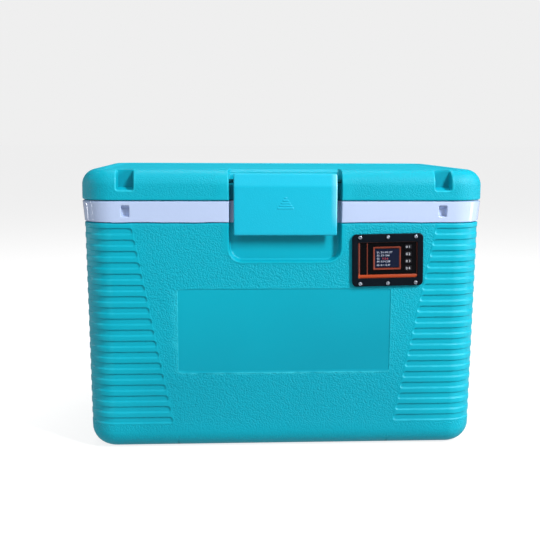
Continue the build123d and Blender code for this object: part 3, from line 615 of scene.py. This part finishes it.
def rounded_outline(corners, radius, steps=5):
    """Outline of a convex polygon with every corner rounded by an arc that is a quadratic
    curve from one side to the next."""
    corners = np.asarray(corners, float)
    before = np.roll(corners, 1, axis=0) - corners
    after = np.roll(corners, -1, axis=0) - corners
    before *= np.minimum(radius / np.hypot(*before.T), 0.49)[:, None]
    after *= np.minimum(radius / np.hypot(*after.T), 0.49)[:, None]
    t = (np.arange(steps + 1) / steps)[None, :, None]
    curve = corners[:, None] + before[:, None] * (1 - t) ** 2 + after[:, None] * t**2
    return curve.reshape(-1, 2)


catch_outline = [(-183.0, 360.5), (-191.0, 362.0), (-191.0, 367.0), (-183.0, 372.5)]
catch_half = 32.0
catch = carried(rounded_outline(catch_outline, 1.0), -catch_half, catch_half, 1.0)
ring_piece("latch_catch", "box", rim_white, catch, sharp=50)

# ---------------------------------------------------------------------------------------------
# Lid shell: a foam-filled teal moulding with a large round over its top. Two notches and the
# upper part of the latch pocket are moulded into its front, and hinge seats into its back.
# ---------------------------------------------------------------------------------------------
lid_bottom = 377.0
lid_top = 422.0
lid_corner = 48.0
lid_round = 24.0
lid_foot_round = 2.2
lid_wall = 4.5
lid_pocket_floor = 177.8
lean_foot = 412.5  # the pocket's floor leans back from here up
lean_run = 11.0
floor_lean = 12.0
lid_notch_height = 409.5
lid_notch_half = (12.2, 17.5)
lid_notch_floor = 183.6
lid_leaf_top = 400.8
lid_leaf_floor = 198.6


def lid_radius(z):
    """Corner radius of the lid: rounded foot, straight wall, and a quarter round to the top."""
    lift = np.clip(z - (lid_top - lid_round), 0, lid_round)
    foot = np.clip(lid_bottom + lid_foot_round - z, 0, lid_foot_round)
    top = lid_round - np.sqrt(lid_round**2 - lift**2)
    return lid_corner - top - lid_foot_round + np.sqrt(lid_foot_round**2 - foot**2)


def in_lid_notch(along, z):
    """How far a point of the lid's front lies inside one of its two notches."""
    return inside(np.abs(along) - notch_middle, z - lid_notch_height, *lid_notch_half, 3.0)


def lid_sink(along, wall_number, z, plain):
    """How far the lid's wall lies in at the latch pocket, the notches and the hinge seats. The
    pocket's floor leans back at its top, where the latch does."""
    floor = lid_pocket_floor - floor_lean * rise((z - lean_foot) / lean_run)
    pocket_in = pocket_half - np.abs(along)
    pocket = recess(pocket_in, np.maximum(plain - floor, 0), run=1.2, rim=2.0, foot=2.5)
    notch_in = in_lid_notch(along, z)
    notch_depth = np.maximum(plain - lid_notch_floor, 0)
    notch = recess(notch_in, notch_depth, run=0.8, rim=2.6, foot=1.0) * (notch_in > -3.0)
    leaf_in = np.minimum(leaf_half - np.abs(np.abs(along) - hinge_middle), lid_leaf_top - z)
    leaf_depth = np.clip(plain - lid_leaf_floor, 0.0, 3.0)
    leaf = recess(leaf_in, leaf_depth, run=0.4, rim=0.3, foot=0.3)
    in_back = np.where((wall_number == 2) & (leaf_in > -0.3), np.maximum(leaf, 0), 0)
    return np.where(wall_number == 0, np.maximum(pocket, notch), in_back)


arc = radians(90) * np.arange(1, 15) / 15
lid_levels = [377, 377.2, 377.7, 378.6, 379.4, 384, 388.6, 389.8, 390.6, 391.4, 392, 392.8, 393.8]
lid_levels += [395.4, 400.4, 400.9, 413.5, 414.6, 415.4, 416, 416.8, 417.4, 418, 421.97]
lid_levels = np.unique(np.concatenate([lid_levels, lid_top - lid_round * (1 - np.sin(arc))]))
front_knots = [0, 74, 76.5, 85.5, 218, 225.5, 241.5, 249, core[0]]
front = both_sides(spread(front_knots, (4, 2, 14, 6, 12, 6, 12, 1)))[None, :]
columns = wall_columns(core, front, side, back, steps=18)
_, _, along, wall_number, _ = columns
z = lid_levels[:, None]
lid_side = lid_radius(z) - lid_sink(along, wall_number, z, core[1] + lid_radius(z))
lid_out = ring_points(columns, lid_side, z)
# Rings of the top, each with its corner radius and how far it lies down in the sunk panel.
cap = [(23, 0), (16, 0), (15, 0.12), (14, 0.6), (13, 1.08), (12, 1.2), (11, 1.2), (2, 1.2)]
cap_radius, cap_drop = np.array(cap, float).T[..., None]
cap_sunk = cap_radius - lid_sink(along, wall_number, lid_top, core[1] + cap_radius)
lid_cap = ring_points(columns, cap_sunk, lid_top - cap_drop)
inner_z = np.array([417.5, 417.0, 412.0, 405.0, 398.0, 390.0, 382.0, 377.0])[:, None]
inner_plain = core[1] + lid_radius(np.minimum(inner_z + lid_wall, 421.5))
inner_sink = lid_sink(along, wall_number, inner_z, inner_plain)
inner_radius = lid_radius(np.clip(inner_z + 2.5, 380, 421)) - lid_wall - inner_sink
lid_in = ring_points(columns, np.maximum(inner_radius, 1.0), inner_z)
lid_rows = [drawn_in(lid_in[:1], floor_shares), lid_in, lid_out, lid_cap]
lid_points = np.concatenate(lid_rows + [drawn_in(lid_cap[-1:], floor_shares[::-1])])

# The pocket and the notches are smooth. Their rims are painted paler, as highlights with some
# wear, and the notches' floors carry a painted shadow, darker towards their lower right. The top
# is matt.
front = wall_number == 0
notch_in = in_lid_notch(along, z)
below_round = 1 - rise((z - 412) / 8)
bare = np.maximum(rise((notch_in + 4.0) / 2.0), rise((pocket_half - np.abs(along) + 4) / 2))
grain = (1 - np.where(front, bare, 0)) * (0.35 + 0.65 * rise((z - 377) / 6) * below_round)
# Painted highlight, with some wear: pale lines along the pocket's and the notches' rims.
pocket_edge = np.exp(-(((pocket_half + 1.2 - np.abs(along)) / 1.2) ** 2)) * below_round
wear = np.maximum(np.exp(-(((notch_in + 1.4) / 1.2) ** 2)), pocket_edge)
across = along - notch_middle * np.sign(along) + lid_notch_half[0]
# Painted shadow on each notch's floor, darker towards its lower right.
notch_floor_shadow = rise((notch_in - 0.5) / 2.0) * rise((0.6 * across + 420.0 - z) / 14.0)


def lid_mark(values, on_top):
    """A mark on the outside of the lid, one value on its top, none on its inside."""
    inner_rows, top_rows = (len(floor_shares) + len(rows) for rows in (inner_z, cap_radius))
    values = np.broadcast_to(values, lid_out.shape[:2])
    return np.pad(values, ((inner_rows, top_rows), (0, 0)), constant_values=((0, on_top), (0, 0)))


lid_marks = {
    "grain": lid_mark(grain, 0.35),
    "wear": lid_mark(np.where(front, wear, 0), 0.0),
    "deep": lid_mark(np.where(front, notch_floor_shadow, 0), 0.0),
    "matt": lid_mark(0.0, 1.0),
}
lid_teal = teal_moulding("lid_teal", 0.0016, 0.0005)
lid_piece = ring_piece("lid_top_shell", "lid", lid_teal, lid_points, lid_marks, 60)
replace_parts(lid_piece, "lid_shell")


def dress(finish, *nodes):
    """Gives their finish to nodes that keep their own shape."""
    for node in nodes:
        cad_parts[node].data.materials[0] = finish


dress(white_moulding("lid_white"), "lid_liner")

# ---------------------------------------------------------------------------------------------
# Latch: one brighter teal moulding, hung on a steel pin in the lid that is painted the dark
# teal of the shade round it. It leans back above its bend, carries a stepped arrow in relief,
# and hooks under the catch on the rim.
# ---------------------------------------------------------------------------------------------
latch_teal = (0.002, 0.385, 0.54)
latch_half = 76.0
latch_front = -202.0
latch_bottom = 326.0
latch_top = 416.0
latch_bend = 396.3
latch_lean = 5.2
bend_run = 2.4
half_thick = 2.0
arrow_top = 382.8
arrow_pitch = 3.78
arrow_bars = 5
arrow_width = 13.0
arrow_height = 0.6
arrow_slope = 0.65


def latch_line(z):
    """Front face of the latch: straight, a short curve at the bend, then straight and leaning."""
    over = np.maximum(z - latch_bend, 0.0)
    turned = np.where(over < bend_run, over**2 / (2 * bend_run), over - bend_run / 2)
    return latch_front + latch_lean * turned / (latch_top - latch_bend - bend_run / 2)


def arrow_relief(x, z):
    """Height of the stepped arrow: bars one under the other, each wider than the one above."""
    step = (arrow_top - z) / arrow_pitch
    bar = np.clip(np.floor(step), 0, arrow_bars - 1)
    across = (step - bar - 0.5) * arrow_pitch
    near = np.minimum(0.75 - np.abs(across), 1.2 + 2.5 * bar - np.abs(x))
    return arrow_height * rise((near + arrow_slope) / arrow_slope)


# The section runs up the front, over the top, down the back and round the grip edge. It is
# carried across the latch and thinned over a quarter circle at both sides.
arrow_foot = arrow_top - arrow_pitch * arrow_bars
face_knots = [latch_bottom + half_thick, arrow_foot - 1, arrow_top + 1]
face_knots += [latch_bend - 5, latch_bend + 5, latch_top - half_thick]
face_z = spread(face_knots, (8, 76, 4, 8, 8))
fold = radians(180) * np.arange(1, 8) / 8
over_top, under_foot = np.full_like(fold, face_z[-1]), np.full_like(fold, face_z[0])
loop_z = np.concatenate([face_z, over_top, face_z[::-1], under_foot])
turn = np.concatenate([np.zeros(len(face_z)), fold, np.full(len(face_z), pi), pi + fold])
slope = np.gradient(latch_line(face_z), face_z)
top_slope, foot_slope = np.full_like(fold, slope[-1]), np.full_like(fold, slope[0])
lean_angle = np.arctan(np.concatenate([slope, top_slope, slope[::-1], foot_slope]))
straight = latch_half - half_thick
along_x = spread([-straight, -arrow_width, arrow_width, straight], (8, 56, 8))
tip = radians(90) * np.arange(6) / 6
tip_x = straight + half_thick * np.cos(tip)
places = np.concatenate([-tip_x, along_x, tip_x[::-1]])
tip_thick = half_thick * np.sin(tip)
thick = np.concatenate([tip_thick, np.full(len(along_x), half_thick), tip_thick[::-1]])
thick = np.maximum(thick, 0.02)[:, None]
x = np.broadcast_to(places[:, None], (len(places), len(loop_z)))
relief = np.where((turn == 0) & (thick == half_thick), arrow_relief(x, loop_z), 0)
out = thick + relief
y = latch_line(loop_z) + half_thick - np.cos(turn + lean_angle) * out
plate = np.stack([x, y, loop_z + np.sin(turn + lean_angle) * out], axis=-1)


def latch_moulding(name):
    """Satin teal plastic, a shade bluer than the box, with a painted highlight down its right edge,
    and fine moulding marks."""
    finish = Finish(name, latch_teal, 0.34, Specular_IOR_Level=0.3)
    clouds = finish.noise(12.0, 2.0)
    shade = finish.mix(clouds * 0.4, latch_teal, (0.0, 0.35, 0.50))
    # The edge mark paints a highlight in a pale teal.
    finish.colour(finish.mix(finish.mark("edge") * 0.55, shade, (0.45, 0.85, 0.95)))
    finish.roughness(0.3 + 0.12 * clouds)
    finish.bump(finish.noise(700.0, 2.0) + 0.6 * finish.noise(45.0, 1.0), 0.00022)
    return finish.material


latch_finish = latch_moulding("latch_plastic")
# Painted highlight: a pale line down the right edge of the latch's front, fading out towards its
# foot.
right_edge_highlight = np.exp(-(((x - latch_half + 1.2) / 0.8) ** 2))
right_edge_highlight = right_edge_highlight * (turn == 0) * rise((loop_z - 332.0) / 30.0)
latch_marks = {"edge": right_edge_highlight[::-1]}


def latch_part(name, points, marks=None, sharp=50):
    """Piece of the latch's own moulding."""
    return ring_piece(name, "latch", latch_finish, points, marks, sharp)


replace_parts(latch_part("latch_front", plate[::-1], latch_marks, 60), "latch_plate")
pivot = (-191.0, 405.0)
barrel_radius = 6.0
barrel_half = 74.0
web_half = 73.5
hook_half = 28.0
rib_half = 1.5
circle = radians(360) * np.arange(32) / 32
barrel = np.stack([np.cos(circle), np.sin(circle)], -1) * barrel_radius + pivot
latch_part("latch_barrel", carried(barrel, -barrel_half, barrel_half, 1.0))
web = rounded_outline([(-199.5, 398.5), (-190.5, 399.2), (-190.5, 410.8), (-194.5, 410.8)], 0.8)
latch_part("latch_web", carried(web, -web_half, web_half, 0.8))
hook = rounded_outline([(-199.0, 361.6), (-187.5, 361.6), (-187.5, 357.2), (-199.0, 350.6)], 1.0)
latch_part("latch_hook", carried(hook, -hook_half, hook_half, 1.0))
rib = rounded_outline([(-199.0, 344.0), (-188.2, 402.0), pivot, (-199.0, 405.0)], 1.0)
for name, middle in (("latch_rib_left", -52.0), ("latch_rib_right", 52.0)):
    latch_part(name, carried(rib, middle - rib_half, middle + rib_half, 0.6))
# Painted shade: the pin is coloured the dark teal of the shaded gap, so that it does not show.
pin_painted_shade = Finish("pin_painted_shade", (0.001, 0.05, 0.065), 0.8, Specular_IOR_Level=0.05)
pin_painted_shade.roughness(0.7 + 0.2 * pin_painted_shade.noise(700.0, 2.0))
dress(pin_painted_shade.material, "latch_pin")

# ---------------------------------------------------------------------------------------------
# Recorder: a black panel plate held by six pan-head screws over an orange case. Its black face
# holds an orange-framed colour screen and four keys.
# ---------------------------------------------------------------------------------------------
panel_across = 152.5
panel_height = 289.2
roll = radians(1.2)  # it is fitted a little askew
outward = np.array([0.0, -1.0, -wall_slope]) / np.hypot(1.0, wall_slope)
level = np.array([cos(roll), sin(roll) * outward[2], -sin(roll) * outward[1]])
upward = np.cross(outward, level)
wall_there = core[1] + top_corner - (body_top - panel_height) * wall_slope
panel_origin = np.array([panel_across, -wall_there, panel_height])


def on_panel(points):
    """Points of the recorder, given across, up and out of its plate, put on the front wall."""
    across, up, out = np.moveaxis(points, -1, 0)[..., None]
    return panel_origin + across * level + up * upward + out * outward


def frame_rows(rows, steps):
    """Rows round a plate: each a half length, half height, corner radius and height out."""
    half_a, half_b, corner, out = np.asarray(rows, float).T[..., None]
    bend = radians(90) * np.arange(steps + 1) / steps
    angle = np.concatenate([bend + radians(90) * k for k in range(4)])
    side_a = np.repeat([1, -1, -1, 1], steps + 1)
    side_b = np.repeat([1, 1, -1, -1], steps + 1)
    a = (half_a - corner) * side_a + corner * np.cos(angle)
    b = (half_b - corner) * side_b + corner * np.sin(angle)
    return np.stack([a, b, np.broadcast_to(out, a.shape)], -1)


def panel_ring(name, finish, rows, shift=(0.0, 0.0)):
    """Flat ring on the recorder: its rows close on themselves round the ring's section."""
    points = frame_rows(rows, 6)
    points[..., :2] += shift
    count, columns, _ = points.shape
    index = np.arange(count * columns).reshape(count, columns)
    after = np.roll(index, -1, axis=1)
    above, above_after = np.roll(index, -1, axis=0), np.roll(after, -1, axis=0)
    faces = np.stack([index, after, above_after, above], -1).reshape(-1, 4).tolist()
    return make_piece(name, "box", finish, on_panel(points), faces, sharp=40)


def satin_black(name, shade, roughness, fine):
    """Black plastic with a fine etched texture."""
    finish = Finish(name, shade, roughness, Specular_IOR_Level=0.09)
    specks = finish.noise(fine, 2.0)
    clouds = finish.noise(40.0, 2.0)
    finish.colour(finish.mix(clouds, shade, tuple(1.6 * c + 0.0008 for c in shade)))
    finish.roughness(roughness + 0.12 * specks)
    finish.bump(specks, 0.00012)
    return finish.material


bezel_black = satin_black("bezel_black", (0.001, 0.003, 0.006), 0.3, 1800.0)
plate_out = 5.0  # how far the plate's front stands out of the wall
bezel_rows = [
    (44.4, 26.75, 2.0, 0.0), (53.0, 39.0, 6.5, 0.0), (53.0, 39.0, 6.5, 3.6),
    (52.9, 38.9, 6.4, 4.2), (52.6, 38.6, 6.1, 4.7), (52.0, 38.0, 5.5, plate_out),
    (51.4, 37.4, 4.9, plate_out), (45.4, 27.75, 3.0, plate_out), (44.9, 27.25, 2.5, 4.9),
    (44.5, 26.85, 2.1, 4.6), (44.4, 26.75, 2.0, 4.2),
]
bezel = panel_ring("recorder_bezel", bezel_black, bezel_rows)
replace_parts(bezel, "display_bezel")

steel = Finish("screw_steel", (0.32, 0.35, 0.40), 0.4, Metallic=1.0)
steel.roughness(0.34 + 0.2 * steel.noise(900.0, 3.0))
steel.bump(steel.noise(1500.0, 2.0), 0.00008)
cross_half = 0.42
cross_reach = 1.75
cross_depth = 0.9


def screw(number, place, section, put_down, name, body):
    """Screw with a cross in its head: its section (distance from the axis, height) turned round
    the axis, and the cross sunk into the flat middle of the head. Each is turned differently."""
    head_top = section[0][1]
    rings = [(0.15 * step, head_top) for step in range(1, 10)]
    distance, height = np.array(rings + section).T[..., None]
    angle = radians(360) * np.arange(40) / 40
    spin = radians(17 + 53 * number)
    arm_a = np.abs(distance * np.cos(angle - spin))
    arm_b = np.abs(distance * np.sin(angle - spin))
    cut = rise((cross_half - np.minimum(arm_a, arm_b)) / 0.18)
    cut = cut * rise((cross_reach - np.maximum(arm_a, arm_b)) / 0.35) * (height > head_top - 1.0)
    x = place[0] + distance * np.cos(angle)
    y = place[1] + distance * np.sin(angle)
    points = np.stack([x, y, height + place[2] - cross_depth * cut], -1)
    return ring_piece(name, body, steel.material, put_down(points)[::-1], sharp=50)


pan_head = [(1.45, 1.95), (2.1, 1.8), (2.3, 1.7), (2.55, 1.4), (2.75, 0.9), (2.8, 0.4)]
pan_head += [(2.8, 0.0), (1.5, 0.0), (1.5, -8.5)]
screw_places = [(a, b, plate_out) for b in (34.5, -34.5) for a in (-41.5, 0.0, 41.5)]
screws = [
    screw(number, place, pan_head, on_panel, f"bezel_screw_{number + 1}", "box")
    for number, place in enumerate(screw_places)
]
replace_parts(screws[0], "bezel_screws")

orange = (0.42, 0.048, 0.003)
shaded_orange = (0.13, 0.014, 0.002)
case_orange = Finish("case_orange", orange, 0.36)
# Painted shade: above the bottom lip, the case inside the window is painted a much deeper orange.
height = case_orange.node("ShaderNodeSeparateXYZ", {}, {"Vector": case_orange.place()}, "Z")
above_lip = case_orange.ramp(height, 0.2655, 0.2675)
case_orange.colour(case_orange.mix(above_lip, orange, shaded_orange))
case_orange.bump(case_orange.noise(1600.0, 2.0), 0.0001)
dress(case_orange.material, "recorder_case")
dress(satin_black("face_black", (0.0004, 0.0004, 0.001), 0.14, 2400.0), "recorder_face")
frame_section = [
    (18.2, 14.6, 0.5, 0.8), (20.7, 17.2, 1.5, 0.8), (20.7, 17.2, 1.5, 2.6),
    (20.55, 17.05, 1.4, 2.9), (20.2, 16.7, 1.1, 3.05), (19.4, 15.9, 0.9, 3.05),
    (19.0, 15.5, 0.8, 2.9), (18.8, 15.3, 0.8, 2.6), (18.25, 14.7, 0.5, 2.2),
    (18.2, 14.6, 0.5, 2.01),
]
frame_orange = Finish("frame_orange", (0.26, 0.035, 0.010), 0.3)
grime = frame_orange.noise(300.0, 2.0)
frame_orange.colour(frame_orange.mix(grime, (0.22, 0.03, 0.011), (0.13, 0.018, 0.006)))
screen_middle = (-1.0, 2.6)
screen_frame = panel_ring(
    "screen_frame", frame_orange.material, frame_section, screen_middle
)
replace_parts(screen_frame, "lcd_frame")
glass = Finish("screen_glass", (0.003, 0.006, 0.02), 0.1, Specular_IOR_Level=0.15)
glass.colour(glass.mix(glass.noise(90.0, 1.0), (0.002, 0.005, 0.018), (0.004, 0.008, 0.028)))
dress(glass.material, "lcd_screen")


def case_lip(name, outline, start, end, order):
    """Rounded lip of the case that shows in the window: an outline given out and across, carried
    along, its axes put in order across, up and out."""
    bar = carried(rounded_outline(outline, 0.7), start, end, 0.6)
    points = on_panel(bar[..., order])
    return ring_piece(name, "box", case_orange.material, points, sharp=60)


low_lip = [(2.4, -26.6), (2.4, -22.0), (3.4, -22.0), (3.7, -23.2), (2.9, -26.2)]
left_lip = [(2.4, -44.2), (3.4, -44.2), (3.6, -42.6), (2.4, -41.3)]
case_lip("case_lip_low", low_lip, -44.2, 44.0, [0, 2, 1])
case_lip("case_lip_left", left_lip, -26.4, 26.2, [2, 0, 1])


def numerals(name, body, finish, text, place, height, out):
    """Printed numerals, flat on the recorder: the outline of each figure filled and laid on."""
    curve = bpy.data.curves.new(name, "FONT")
    curve.body = text
    curve.size = height
    curve.extrude = 0.02
    curve.resolution_u = 3
    maker = bpy.data.objects.new(name, curve)
    mesh = bpy.data.meshes.new_from_object(maker)
    bpy.data.objects.remove(maker)
    flat = np.zeros(len(mesh.vertices) * 3)
    mesh.vertices.foreach_get("co", flat)
    points = flat.reshape(-1, 3) + [place[0], place[1], out]
    mesh.vertices.foreach_set("co", (on_panel(points) * millimetre).ravel())
    mesh.materials.clear()
    mesh.materials.append(finish)
    piece = bpy.data.objects.new(name, mesh)
    bpy.context.scene.collection.objects.link(piece)
    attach(piece, body)


def glowing(name, colour):
    """Lit pixels of the screen, a little uneven."""
    finish = Finish(name, colour, 0.5, Emission_Color=(*colour, 1.0), Emission_Strength=0.12)
    finish.colour(finish.mix(finish.noise(800.0, 2.0), colour, tuple(0.6 * c for c in colour)))
    return finish.material


pixel_white = glowing("pixel_white", (0.55, 0.6, 0.75))
pixel_red = glowing("pixel_red", (0.6, 0.07, 0.08))
on_screen = 2.04  # how far out the pixels lie
row_left = -16.0
figure_height = 3.8
screen_rows = [("01. 2.6 4.8 127", 10.2), ("02. 3.9 1246", 5.5), ("03.", 0.9)]
screen_rows += [("04. 5.0 6.238", -3.5), ("05. 8.1 12.47", -8.9)]
for number, (text, up) in enumerate(screen_rows, start=1):
    place = (row_left, up)
    numerals(f"screen_row_{number}", "box", pixel_white, text, place, figure_height, on_screen)
numerals("screen_row_3_high", "box", pixel_red, "11.5 6", (-8.4, 0.8), 3.7, on_screen)

key_left = 27.3  # where the figures on the keys start
key_first = 17.2
key_pitch = 10.65
on_key = 2.93
key_black = satin_black("key_black", (0.006, 0.006, 0.008), 0.5, 2000.0)
key_print = Finish("key_print", (0.6, 0.63, 0.68), 0.6)
key_print.colour(key_print.mix(key_print.noise(900.0, 2.0), (0.68, 0.71, 0.76), (0.45, 0.48, 0.53)))
for number in range(1, 5):
    dress(key_black, f"button_{number}")
    place = (key_left, key_first - key_pitch * (number - 1))
    name, body = f"key_print_{number}", f"key_{number}"
    numerals(name, body, key_print.material, f"0 {number}", place, 5.2, on_key)

# ---------------------------------------------------------------------------------------------
# Hinges: two butt hinges of brushed stainless steel at the back. Each leaf lies in a seat of its
# moulding and is held by three oval-head screws.
# ---------------------------------------------------------------------------------------------
brushed = Finish("brushed_steel", (0.62, 0.63, 0.65), 0.3, Metallic=1.0)
brushed.roughness(0.24 + 0.2 * brushed.noise(500.0, 3.0))
brushed.bump(brushed.noise(1200.0, 2.0), 0.00006)
for side in ("left", "right"):
    leaves = (f"box_hinge_leaf_{side}", f"lid_hinge_leaf_{side}")
    dress(brushed.material, *leaves, f"hinge_pin_{side}")


def on_back(points):
    """Points of the back, given across, up and out of it as seen from behind, put in place."""
    across, up, out = np.moveaxis(points, -1, 0)
    return np.stack([-across, out, up], -1)


oval_head = [(1.45, 0.7), (2.6, 0.6), (3.4, 0.35), (3.9, 0.05), (3.9, -0.3), (1.0, -0.3)]
hinge_screw_pitch = 18.0
for body, up, out in (("lid", 391.0, 201.1), ("box", 361.0, 199.9)):
    for number in range(6):
        hinge, along_leaf = divmod(number, 3)
        across = (2 * hinge - 1) * hinge_middle + (along_leaf - 1) * hinge_screw_pitch
        name = f"{body}_hinge_screw_{number + 1}"
        screw(number, (across, up, out), oval_head, on_back, name, body)

# ---------------------------------------------------------------------------------------------
# Seals: black rubber. The lid's gasket presses on the rim, a flat seal lies behind the
# recorder's plate, and a grommet carries the probe through the chamber's wall.
# ---------------------------------------------------------------------------------------------
rubber = Finish("gasket_rubber", (0.02, 0.02, 0.022), 0.7)
rubber.bump(rubber.noise(1500.0, 2.0), 0.0001)
dress(rubber.material, "lid_gasket", "bezel_seal", "probe_grommet")

# ---------------------------------------------------------------------------------------------
# Inside: rigid foam in the walls and the lid, the recorder's board, switches and battery, and
# the steel sleeve of its probe. Little of it shows. Each keeps its own shape.
# ---------------------------------------------------------------------------------------------


def plain_moulding(name, shade, dark, size, roughness, depth):
    """Matt surface with a little unevenness in its colour and its relief."""
    finish = Finish(name, shade, roughness)
    finish.colour(finish.mix(finish.noise(size, 3.0), shade, dark))
    finish.bump(finish.noise(size * 4, 2.0), depth)
    return finish.material


foam = plain_moulding("foam", (0.75, 0.70, 0.52), (0.60, 0.54, 0.38), 300.0, 0.9, 0.0003)
board = plain_moulding("board_green", (0.01, 0.12, 0.04), (0.005, 0.08, 0.03), 250.0, 0.4, 0.00005)
black, sheen = (0.015, 0.015, 0.017), (0.03, 0.03, 0.032)
switches = plain_moulding("switch_black", black, sheen, 900.0, 0.5, 0.00005)
grey = plain_moulding("battery_grey", (0.20, 0.21, 0.23), (0.14, 0.15, 0.17), 120.0, 0.45, 0.00004)
dress(foam, "box_foam", "lid_foam")
dress(board, "circuit_board")
dress(switches, "key_switches")
dress(grey, "battery")
dress(brushed.material, "temperature_probe")

# ---------------------------------------------------------------------------------------------
# Studio: a white paper floor, soft boxes in front, above, behind and at both sides, narrow
# strips that only give glints, and a camera in front, a little above the lid.
# ---------------------------------------------------------------------------------------------
scene = bpy.context.scene
scene.view_settings.view_transform = "Standard"
world = bpy.data.worlds.new("studio")
scene.world = world
world.use_nodes = True
sky = world.node_tree
room = sky.nodes["Background"]
room.inputs["Color"].default_value = (0.10, 0.10, 0.105, 1.0)
backdrop = sky.nodes.new("ShaderNodeBackground")
backdrop.inputs["Color"].default_value = (0.863, 0.863, 0.863, 1.0)
seen = sky.nodes.new("ShaderNodeLightPath")
choice = sky.nodes.new("ShaderNodeMixShader")
sky.links.new(seen.outputs["Is Camera Ray"], choice.inputs[0])
sky.links.new(room.outputs[0], choice.inputs[1])
sky.links.new(backdrop.outputs[0], choice.inputs[2])
sky.links.new(choice.outputs[0], sky.nodes["World Output"].inputs[0])

floor_mesh = bpy.data.meshes.new("floor")
floor_half = 60.0
corners = [(x, y, 0.0) for x, y in ((-1, -1), (1, -1), (1, 1), (-1, 1))]
floor_mesh.from_pydata(np.array(corners) * floor_half, [], [(0, 1, 2, 3)])
floor = bpy.data.objects.new("floor", floor_mesh)
scene.collection.objects.link(floor)
paper = Finish("studio_paper", (0.22, 0.22, 0.22), 0.9, Specular_IOR_Level=0.0)
paper.put(paper.shader.inputs["Emission Strength"], 1.0)
direct = paper.node("ShaderNodeLightPath", {}, {}, "Is Camera Ray")
glow = paper.mix(direct, (0.33, 0.33, 0.33), (0.835, 0.835, 0.835))
paper.put(paper.shader.inputs["Emission Color"], glow)
floor_mesh.materials.append(paper.material)


def softbox(name, place, aim, size, power, lit=True, mirrored=True):
    """Area light at a place, turned towards a point. It lights surfaces, gives glints, or both."""
    light = bpy.data.lights.new(name, "AREA")
    light.shape = "RECTANGLE"
    light.size, light.size_y = size
    light.energy = power
    lamp = bpy.data.objects.new(name, light)
    lamp.visible_camera = False
    lamp.visible_diffuse = lit
    lamp.visible_glossy = mirrored
    lamp.location = place
    lamp.rotation_euler = (Vector(aim) - Vector(place)).to_track_quat("-Z", "Y").to_euler()
    scene.collection.objects.link(lamp)


front_middle = (0.0, -0.2, 0.2)
left_corner = (-0.28, -0.15, 0.3)
softbox("key_light", (1.808, -1.946, 2.025), front_middle, (0.47, 1.22), 138.0)
softbox("fill_light", (-0.97, -2.28, 2.13), front_middle, (1.2, 1.2), 22.0)
softbox("top_light", (0.0, 0.1, 2.4), (0.0, 0.0, 0.4), (1.0, 1.0), 15.5)
softbox("side_light", (1.9, -0.35, 0.45), (0.1, -0.1, 0.3), (0.35, 1.6), 13.5)
softbox("left_light", (-2.2, -0.7, 0.5), left_corner, (1.3, 1.6), 7.5, mirrored=False)
softbox("glint_light", (1.8, -0.6, 1.4), (0.28, -0.15, 0.4), (0.8, 0.8), 30.0, lit=False)
softbox("foot_light", (0.0, -0.3, 0.012), (0.0, -0.2, 0.012), (0.9, 0.02), 0.06, mirrored=False)
softbox("left_strip", (-2.1, -0.2, 0.5), left_corner, (0.07, 1.6), 7.0, lit=False)
softbox("rear_strip", (-2.1, 0.8, 0.5), left_corner, (0.08, 1.6), 9.0, lit=False)
softbox("back_light", (0.0, 1.5, 2.3), (0.0, 0.2, 0.2), (1.6, 0.8), 34.0, mirrored=False)

camera = bpy.data.cameras.new("camera")
camera.sensor_width = 36.0
camera.lens = 63.086
eye = bpy.data.objects.new("camera", camera)
yaw, pitch, tilt = radians(3.365), radians(7.889), radians(0.259)
ahead = np.array([sin(yaw) * cos(pitch), cos(yaw) * cos(pitch), -sin(pitch)])
across = np.array([cos(yaw), -sin(yaw), 0.0])
up = np.cross(across, ahead)
right = cos(tilt) * across + sin(tilt) * up
above = -sin(tilt) * across + cos(tilt) * up
turned = Matrix(np.stack([right, above, -ahead], axis=1).tolist())
eye.matrix_world = Matrix.Translation((-0.1035, -1.5791, 0.4663)) @ turned.to_4x4()
scene.collection.objects.link(eye)
scene.camera = eye
